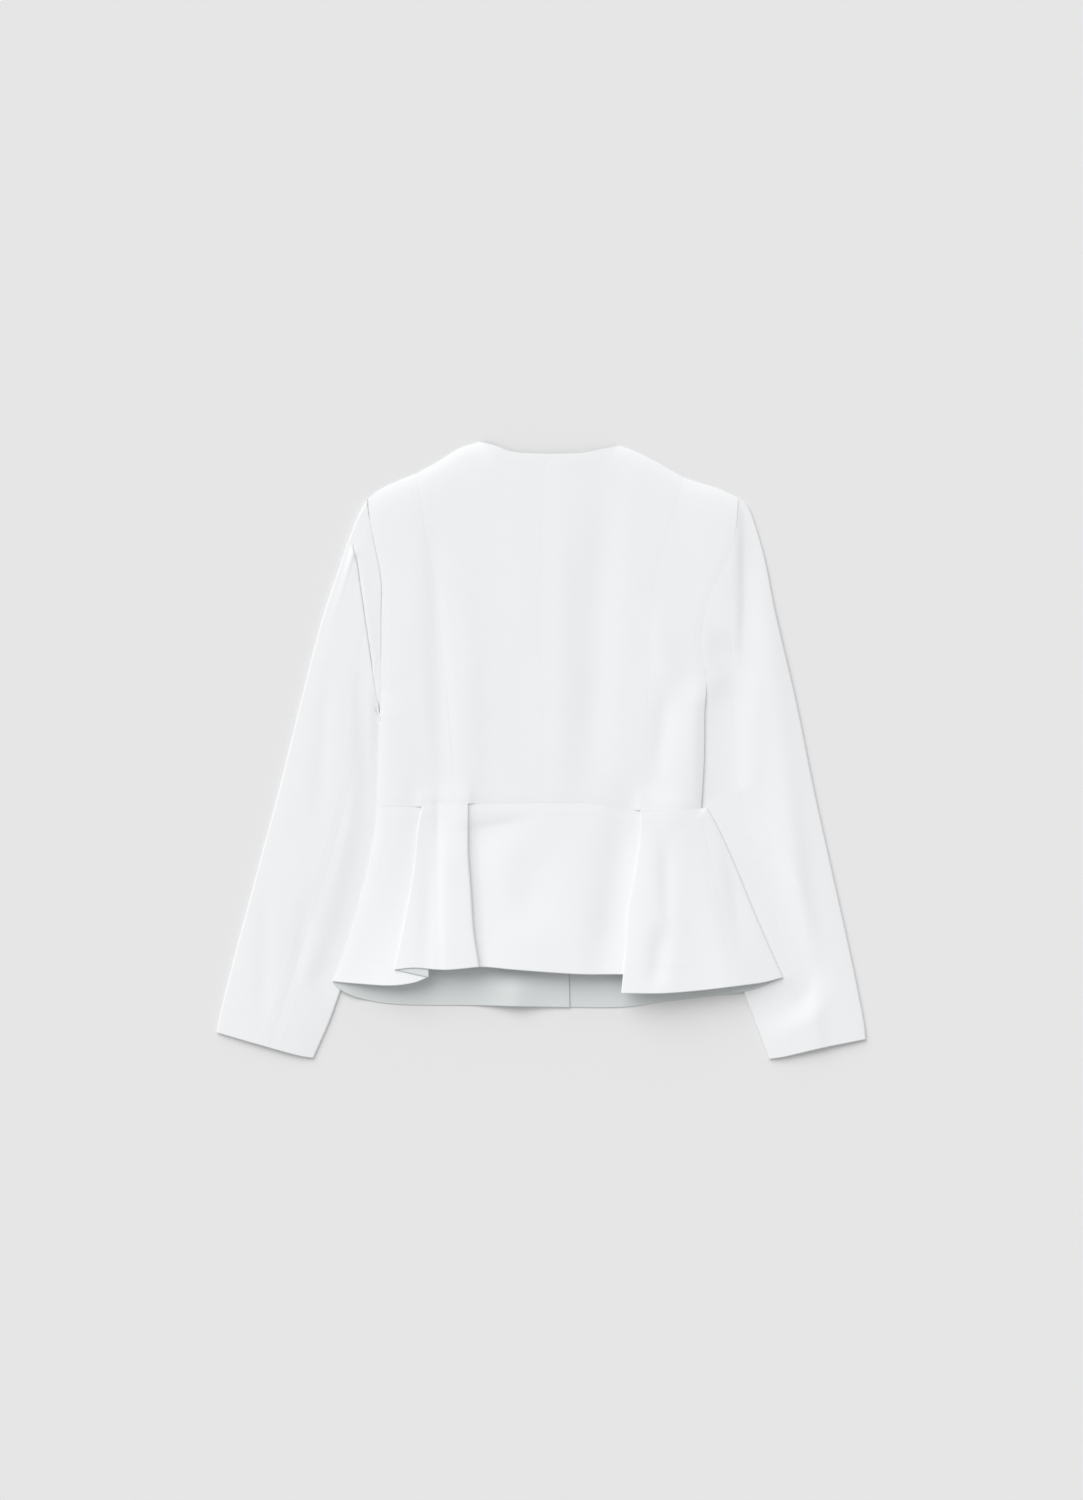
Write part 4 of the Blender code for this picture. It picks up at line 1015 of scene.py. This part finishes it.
    def piece(name, rim, sign):
        """From the seam on the upper layer, round the outer or inner edge, to the seam below."""
        edge_height = sleeve_height(side, rim[:, 0], rim[:, 1])
        radius = (edge_height - FLOOR) / 2
        turn_share = 1 - radius / width if sign > 0 else radius / width
        seam_gap = SEAM_GAP / width * sign
        seam_share = ARM_SEAM_TOP + ARM_SEAM_SHOULDER * np.exp(-outer_at / SHOULDER_SHARE) + seam_gap
        widest = width.max() * PIECE_SHARE
        f = shares_for(widest, UPPER_PITCH, rims=(True, False))[None, :]
        top_shares = seam_share[:, None] * (1 - f) + turn_share[:, None] * f
        f = shares_for(widest, LOWER_PITCH, rims=(False, True))[None, :]
        low_shares = turn_share[:, None] * (1 - f) + (ARM_SEAM_BOTTOM + seam_gap)[:, None] * f
        top, bottom = upper(top_shares), lower(low_shares)
        bottom[:, 0, :2] = top[:, -1, :2]
        rounds = []
        for row in range(len(top)):
            heading = top[row, -1, :2] - top[row, -2, :2]
            heading /= np.linalg.norm(heading)
            rounds.append(turn(top[row, -1, :2], heading, top[row, -1, 2], FLOOR))
        grid = np.concatenate([top, np.array(rounds), bottom], axis=1)
        above_elbow, at_most = SEAM_SHOWS[side]
        shown = above_elbow + (1 - above_elbow) * step((outer_at - ELBOW) / ELBOW_RAMP)
        cloth(name, grid, "shell", "folded", ("floor",), "lrt", grain, strength=shown * at_most)
        return grid

    return piece(node + "_top", right, 1), piece(node + "_under", left, -1)


sleeve_left = sleeve(
    "sleeve_left", 0, ARMHOLE_LEFT, ARMHOLE_FRONT_LEFT, CUFF_LEFT, ARM_FOLD_LEFT, math.radians(14),
)

# Right sleeve
# The same two-piece sleeve on the right, with no fold across it. A soft fold hangs from its head beside
# the armhole, and it passes under the body's right edge.
sleeve_right = sleeve(
    "sleeve_right", 1, ARMHOLE_RIGHT, ARMHOLE_FRONT_RIGHT, CUFF_RIGHT, None, math.radians(-12),
)

# Seam stitches
# The machine stitches of twisted white thread that close each seam. They lie deep in the groove, where two
# pieces meet, and their slant varies a little.
STITCH_SPACING = 2.6
STITCH_LENGTH = 1.9
STITCH_RADIUS = 0.13
STITCH_SLANT = 0.1
# How far above or below the middle of the cloth the stitches lie.
STITCH_RISE = 0.32

thread, shader = new_material("thread", Roughness=0.55, Sheen_Weight=0.3)
tree = thread.node_tree
place = add_node(tree, "ShaderNodeTexCoord").outputs["Object"]
twist = add_node(
    tree, "ShaderNodeTexWave", bands_direction="DIAGONAL", Vector=place, Scale=1400, Distortion=1.0,
).outputs["Fac"]
PLY_COLOURS = {"A": (0.80, 0.815, 0.84, 1), "B": (0.90, 0.91, 0.925, 1)}
ply = add_node(tree, "ShaderNodeMix", data_type="RGBA", Factor=twist, **PLY_COLOURS)
bump = add_node(tree, "ShaderNodeBump", Strength=0.4, Distance=0.00004, Height=twist)
set_inputs(shader, Base_Color=ply.outputs["Result"], Normal=bump.outputs[0])

tree = bpy.data.node_groups.new("stitches_on_lines", "GeometryNodeTree")
tree.interface.new_socket("Lines", in_out="INPUT", socket_type="NodeSocketGeometry")
for name in ("Spacing", "Length", "Radius", "Slant"):
    tree.interface.new_socket(name, in_out="INPUT", socket_type="NodeSocketFloat")
tree.interface.new_socket("Stitches", in_out="OUTPUT", socket_type="NodeSocketGeometry")
given = add_node(tree, "NodeGroupInput").outputs
curves = add_node(tree, "GeometryNodeMeshToCurve", Mesh=given["Lines"]).outputs[0]
spaced = add_node(
    tree, "GeometryNodeResampleCurve", mode="LENGTH", Curve=curves, Length=given["Spacing"],
)
tangent = add_node(tree, "GeometryNodeInputTangent").outputs[0]
uneven = add_node(
    tree, "FunctionNodeRandomValue", data_type="FLOAT_VECTOR", Min=(-1, -1, 0), Max=(1, 1, 0), Seed=7,
).outputs["Value"]
slant = add_node(tree, "ShaderNodeVectorMath", operation="SCALE", Vector=uneven, Scale=given["Slant"])
heading = add_node(tree, "ShaderNodeVectorMath", operation="ADD", Vector=tangent)
feed(heading, 1, slant.outputs[0])
turned = add_node(tree, "FunctionNodeAlignRotationToVector", Vector=heading.outputs[0])
stitch = add_node(
    tree, "GeometryNodeMeshCylinder", Vertices=6, Radius=given["Radius"], Depth=given["Length"],
)
placed = add_node(
    tree, "GeometryNodeInstanceOnPoints", Points=spaced.outputs[0], Instance=stitch.outputs["Mesh"],
    Rotation=turned.outputs[0],
)
real = add_node(tree, "GeometryNodeRealizeInstances", Geometry=placed.outputs[0])
painted = add_node(tree, "GeometryNodeSetMaterial", Material=thread, Geometry=real.outputs[0])
add_node(tree, "NodeGroupOutput", Stitches=painted.outputs[0])

# The seams on the upper layers, then those underneath.
above = (
    back_centre_left[:, 0], back_centre_left[:, -1], back_centre_right[:, -1],
    back_side_left[-1], back_centre_left[-1], back_centre_right[-1], back_side_right[-1],
    back_side_left[back_side_left[:, 0, 1] > ARMPIT_LEFT[1], 0],
    back_side_right[back_side_right[:, -1, 1] > ARMPIT_RIGHT[1], -1],
    sleeve_left[0][:, 0], sleeve_right[0][:, 0], peplum_side_right[:, -1],
)
below = (sleeve_left[0][:, -1], sleeve_right[0][:, -1], front_left[-1], front_right[-1])
points, edges = [], []
for lines, rise in ((above, STITCH_RISE), (below, -STITCH_RISE)):
    for line in lines:
        first = len(points)
        points.extend((line + (0, 0, rise)) * MM)
        edges.extend((first + i, first + i + 1) for i in range(len(line) - 1))
seams = bpy.data.meshes.new("seams")
seams.from_pydata(np.array(points).tolist(), edges, [])
seam_stitches = new_object("seam_stitches", seams)
modifier = seam_stitches.modifiers.new("stitches", "NODES")
modifier.node_group = tree
sizes = {
    "Spacing": STITCH_SPACING * MM, "Length": STITCH_LENGTH * MM, "Radius": STITCH_RADIUS * MM,
    "Slant": STITCH_SLANT,
}
for socket in tree.interface.items_tree:
    if socket.name in sizes:
        modifier[socket.identifier] = sizes[socket.name]
graph = bpy.context.evaluated_depsgraph_get()
seam_stitches.data = bpy.data.meshes.new_from_object(seam_stitches.evaluated_get(graph))
seam_stitches.modifiers.clear()
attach(seam_stitches, "root")

# Ground
# A plain pale sheet of paper that the jacket lies on. It is matt, and it reaches far past the picture's
# edges, so that no end of it shows.
FLOOR_REACH = 3.0
floor_mesh = bpy.data.meshes.new("floor")
floor_corners = [(x * FLOOR_REACH, y * FLOOR_REACH, 0) for x, y in ((-1, -1), (1, -1), (1, 1), (-1, 1))]
floor_mesh.from_pydata(floor_corners, [], [(0, 1, 2, 3)])
floor = new_object("floor", floor_mesh)
floor_mesh.materials.append(new_material("paper", Base_Color=(0.8, 0.8, 0.8, 1), Roughness=0.9)[0])

# Light
# Soft daylight from the upper left, as from a wide window, with plenty of fill from all round, so that the
# shadows are faint and have no sharp edge.
sun_data = bpy.data.lights.new("window", "SUN")
sun_data.angle = math.radians(55)
sun_data.energy = 2.0
window = new_object("window", sun_data)
window.location = (-1.6, 2.3, 2.35)
window.rotation_euler = window.location.to_track_quat("Z", "Y").to_euler()
world = bpy.data.worlds.new("room")
world.use_nodes = True
set_inputs(world.node_tree.nodes["Background"], Color=(1, 1, 1, 1), Strength=0.575)
bpy.context.scene.world = world
bpy.context.scene.view_settings.view_transform = "Standard"

# Camera
# A long lens straight above the jacket, as in the photo, so that there is next to no perspective. The
# picture's middle is the jacket's, to within a millimetre.
lens = bpy.data.cameras.new("camera")
lens.sensor_width = 36
lens.lens = 134.6
lens.clip_end = 50
camera = new_object("camera", lens)
camera.location = (-0.0004, 0.0005, 6.0)
bpy.context.scene.camera = camera
